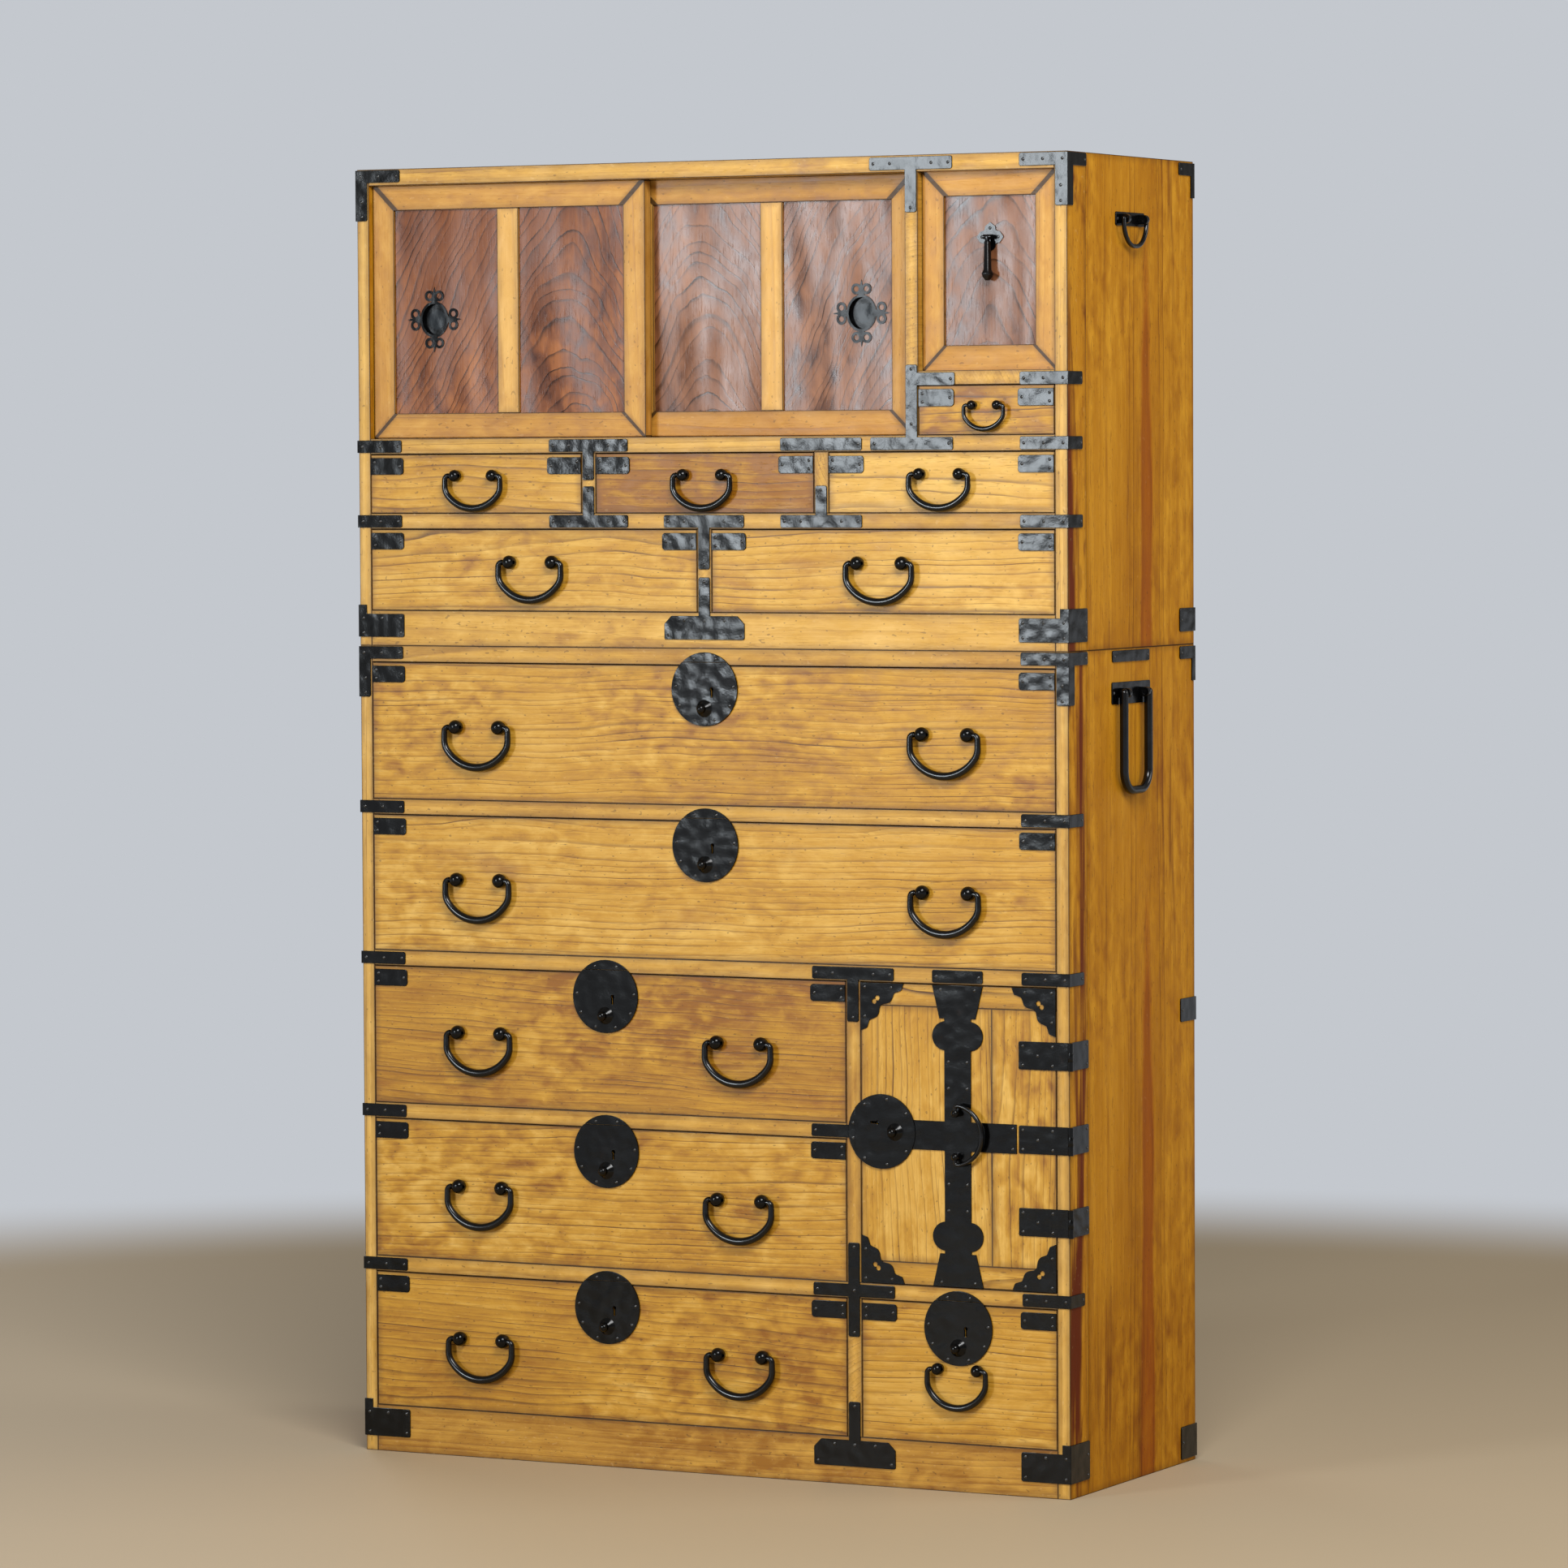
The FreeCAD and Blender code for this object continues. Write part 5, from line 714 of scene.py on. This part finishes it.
def swept(rings, centre, side, down, deep):
    """A tube through rings, each ((sideways, downwards), radius); those at its ends face sideways."""
    spots = np.array([place for place, _ in rings])
    way = np.gradient(spots, axis=0)
    way[:END_RINGS] = (1.0, 0.0)
    way[-END_RINGS:] = (1.0, 0.0)
    turns = [2 * math.pi * i / BOW_SIDES for i in range(BOW_SIDES)]
    bm = bmesh.new()
    loops = []
    for (x, z), (dx, dz), (_, r) in zip(spots, way, rings):
        out = (side * -dz + down * dx) / math.hypot(dx, dz)
        core = centre + side * x + down * z
        count = 1 if r == 0 else BOW_SIDES
        loops.append([bm.verts.new(core + r * (math.cos(t) * out + math.sin(t) * deep))
                      for t in turns[:count]])
    for a, b in zip(loops, loops[1:]):
        for i in range(BOW_SIDES):
            ring = [a[i % len(a)], a[(i + 1) % len(a)], b[(i + 1) % len(b)], b[i % len(b)]]
            bm.faces.new(list(dict.fromkeys(ring)))
    bmesh.ops.recalc_face_normals(bm, faces=bm.faces)
    for face in bm.faces:
        face.smooth = True
    return bm


def plain(material):
    return lambda face: material


def post_pick(face):
    """A post's front is like the rails."""
    return RAIL_WOOD if face.normal.y < FACES_FRONT else POST_WOOD


def front_pick(face):
    """A drawer front; the small faces inside its keyhole are painted near-black as the shade in the hole."""
    aside = max(abs(face.normal.x), abs(face.normal.z)) > FACES_ASIDE
    small = face.calc_area() < KEYHOLE_AREA and aside
    deep = small and max(v.co.y for v in face.verts) - min(v.co.y for v in face.verts) > KEYHOLE_DEEP
    return KEYHOLE_PAINTED_SHADE if deep else FRONT_WOOD


def case_choice(low, high, size):
    """Side boards are amber, rails and partitions are pale, the top is matt; the rest is inside wood."""
    if size[2] > SIDE_LEAST_H and size[0] < BOARD_MOST:
        if size[1] < POST_MOST_D:
            return post_pick, 2, None, POST_TONE
        along, across, deep = SIDE_PITH
        return plain(SIDE_WOOD), 2, (along, across, math.copysign(deep, low[0])), 0.0
    if low[1] < FRONT_Y:
        tone = BASE_TONE if high[2] < BASE_RAIL_TOP else rng.uniform(*RAIL_TONES)
        return plain(RAIL_WOOD), None, None, tone
    if size[2] < BOARD_MOST and high[2] > CAD_HI[2] - BOARD_MOST:
        return plain(TOP_WOOD), 0, None, 0.0
    return plain(INSIDE_WOOD), None, None, None


def drawer_choice(node):
    """A drawer's front is of front wood in its own lightness, partly its tone and partly painted light, the
    rest of inside wood.
    """
    def choose(low, high, size):
        if low[1] < FRONT_Y:
            return front_pick, 0, None, FRONT_TONE_AND_PAINTED_LIGHT[node]
        return plain(INSIDE_WOOD), None, None, None
    return choose


def hinged_choice(low, high, size):
    """Every board of the hinged door is of front wood."""
    return front_pick, None, None, rng.uniform(*DOOR_TONES)


def door_choice(node):
    """Panels of a sliding or lift-out door stand in a mitred frame."""
    low_corner, high_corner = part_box(node)
    centre_x = (low_corner.x + high_corner.x) / 2

    def choose(low, high, size):
        if min(size[0], size[2]) > PANEL_LEAST:
            which = 1 if low[0] > centre_x else 0
            panel = RED_PANEL if node == "left_sliding_door" else GREY_PANEL
            return plain(panel), 2, PANEL_PITHS[node][which], 0.0
        if min(high_corner.x - high[0], low[0] - low_corner.x) > MUNTIN_IN:
            return plain(MUNTIN_WOOD), None, None, MUNTIN_TONE
        tones = STILE_TONES if size[2] > size[0] else FRAME_RAIL_TONES
        return plain(FRAME_WOOD), None, None, rng.uniform(*tones)
    return choose


behaviour = frame["record"]["behaviour"]
SWINGS = {j["child"]: j for j in behaviour["joints"] if "_bail_" in j["name"]}
for body, members in behaviour["bodies"].items():
    for node in members:
        if node.endswith("_boards"):
            dress_wood(node, body, "case_wood", case_choice)
        elif node.endswith("_drawer"):
            dress_wood(node, body, "drawer_wood", drawer_choice(node))
        elif node == "hinged_door":
            dress_wood(node, body, "drawer_wood", hinged_choice)
        elif node in PANEL_PITHS:
            dress_wood(node, body, "door_wood", door_choice(node))
        elif node.endswith("_cup_pull"):
            dress_iron(node, body, CUP_IRON)
        elif node in SWINGS or node.endswith("_handle") or node.endswith("_drop"):
            dress_iron(node, body, BOW_IRON)
        else:
            dress_iron(node, body, BLACK_IRON)

# ---------------------------------------------------------------- room, light and camera
WALL_RGB, FLOOR_RGB = (196, 200, 206), (182, 163, 134)
FLOOR_ROUGH, FLOOR_SHINE = 0.6, 0.2
AMBIENT_RGB, AMBIENT = (228, 226, 222), 0.28
FLOOR_HALF = 60.0
FLOOR_NEAR, FLOOR_FAR = 2.1, 3.0        # between these the floor fades into the wall's colour
WINDOW_RGB = (0.86, 0.94, 1.0)


def floor_material():
    """Plain floor that fades into the wall's colour far from the chest."""
    n = Nodes("floor_plain")
    shader = n.node("ShaderNodeBsdfPrincipled", {"Base Color": tint(FLOOR_RGB), "Roughness": FLOOR_ROUGH,
                                                 "Specular IOR Level": FLOOR_SHINE}).outputs[0]
    at = n.node("ShaderNodeNewGeometry").outputs["Position"]
    reach = n.node("ShaderNodeVectorMath", {0: at}, operation="LENGTH").outputs["Value"]
    glow = n.node("ShaderNodeEmission", {"Color": tint(WALL_RGB), "Strength": 1.0}).outputs[0]
    fade = n.ramp(reach, FLOOR_NEAR, FLOOR_FAR)
    n.put(n.out.inputs[0], n.node("ShaderNodeMixShader", {0: fade, 1: shader, 2: glow}).outputs[0])
    return n.material


floor_mesh = bpy.data.meshes.new("floor")
floor_mesh.from_pydata([(-FLOOR_HALF, -FLOOR_HALF, 0), (FLOOR_HALF, -FLOOR_HALF, 0),
                        (FLOOR_HALF, FLOOR_HALF, 0), (-FLOOR_HALF, FLOOR_HALF, 0)], [], [(0, 1, 2, 3)])
floor_mesh.materials.append(floor_material())
floor = bpy.data.objects.new("floor", floor_mesh)
bpy.context.scene.collection.objects.link(floor)

world = bpy.data.worlds.new("room")
world.use_nodes = True
tree = world.node_tree
tree.nodes.clear()
paths = tree.nodes.new("ShaderNodeLightPath")
seen = tree.nodes.new("ShaderNodeBackground")
seen.inputs[0].default_value = tint(WALL_RGB)
ambient = tree.nodes.new("ShaderNodeBackground")
ambient.inputs[0].default_value = tint(AMBIENT_RGB)
ambient.inputs[1].default_value = AMBIENT
choice = tree.nodes.new("ShaderNodeMixShader")
out = tree.nodes.new("ShaderNodeOutputWorld")
tree.links.new(paths.outputs["Is Camera Ray"], choice.inputs[0])
tree.links.new(ambient.outputs[0], choice.inputs[1])
tree.links.new(seen.outputs[0], choice.inputs[2])
tree.links.new(choice.outputs[0], out.inputs[0])
bpy.context.scene.world = world


def softbox(name, at, aim, size, watts, rgb=(1.0, 1.0, 1.0)):
    """A rectangular lamp of that width and height, which faces aim."""
    lamp = bpy.data.lights.new(name, "AREA")
    lamp.shape = "RECTANGLE"
    lamp.size, lamp.size_y = size
    lamp.energy = watts
    lamp.color = rgb
    obj = bpy.data.objects.new(name, lamp)
    obj.location = at
    obj.rotation_euler = (Vector(aim) - Vector(at)).to_track_quat("-Z", "Y").to_euler()
    bpy.context.scene.collection.objects.link(obj)


softbox("key", (1.7, -2.4, 2.9), (0.3, 0.0, 0.8), (1.5, 1.2), 112)
softbox("window", (-2.43, -6.0, 1.80), (0.2, 0.0, 1.4), (1.2, 1.7), 172, WINDOW_RGB)
softbox("fill", (4.0, 1.3, 2.2), (0.4, 0.0, 0.8), (2.0, 2.0), 50)
softbox("left", (-3.6, 2.6, 2.2), (-0.3, 0.0, 0.8), (2.0, 2.0), 30)

camera_data = bpy.data.cameras.new("camera")
camera_data.lens = LENS
camera_data.sensor_width = SENSOR
camera_data.clip_end = CLIP_END
camera = bpy.data.objects.new("camera", camera_data)
turn = (Matrix.Rotation(math.radians(CAMERA_TURN_Z), 4, "Z")
        @ Matrix.Rotation(math.radians(90 - CAMERA_TILT), 4, "X")
        @ Matrix.Rotation(math.radians(CAMERA_ROLL), 4, "Z"))
camera.matrix_world = Matrix.Translation(CAMERA_AT) @ turn
bpy.context.scene.collection.objects.link(camera)
bpy.context.scene.camera = camera
bpy.context.scene.view_settings.view_transform = "Standard"
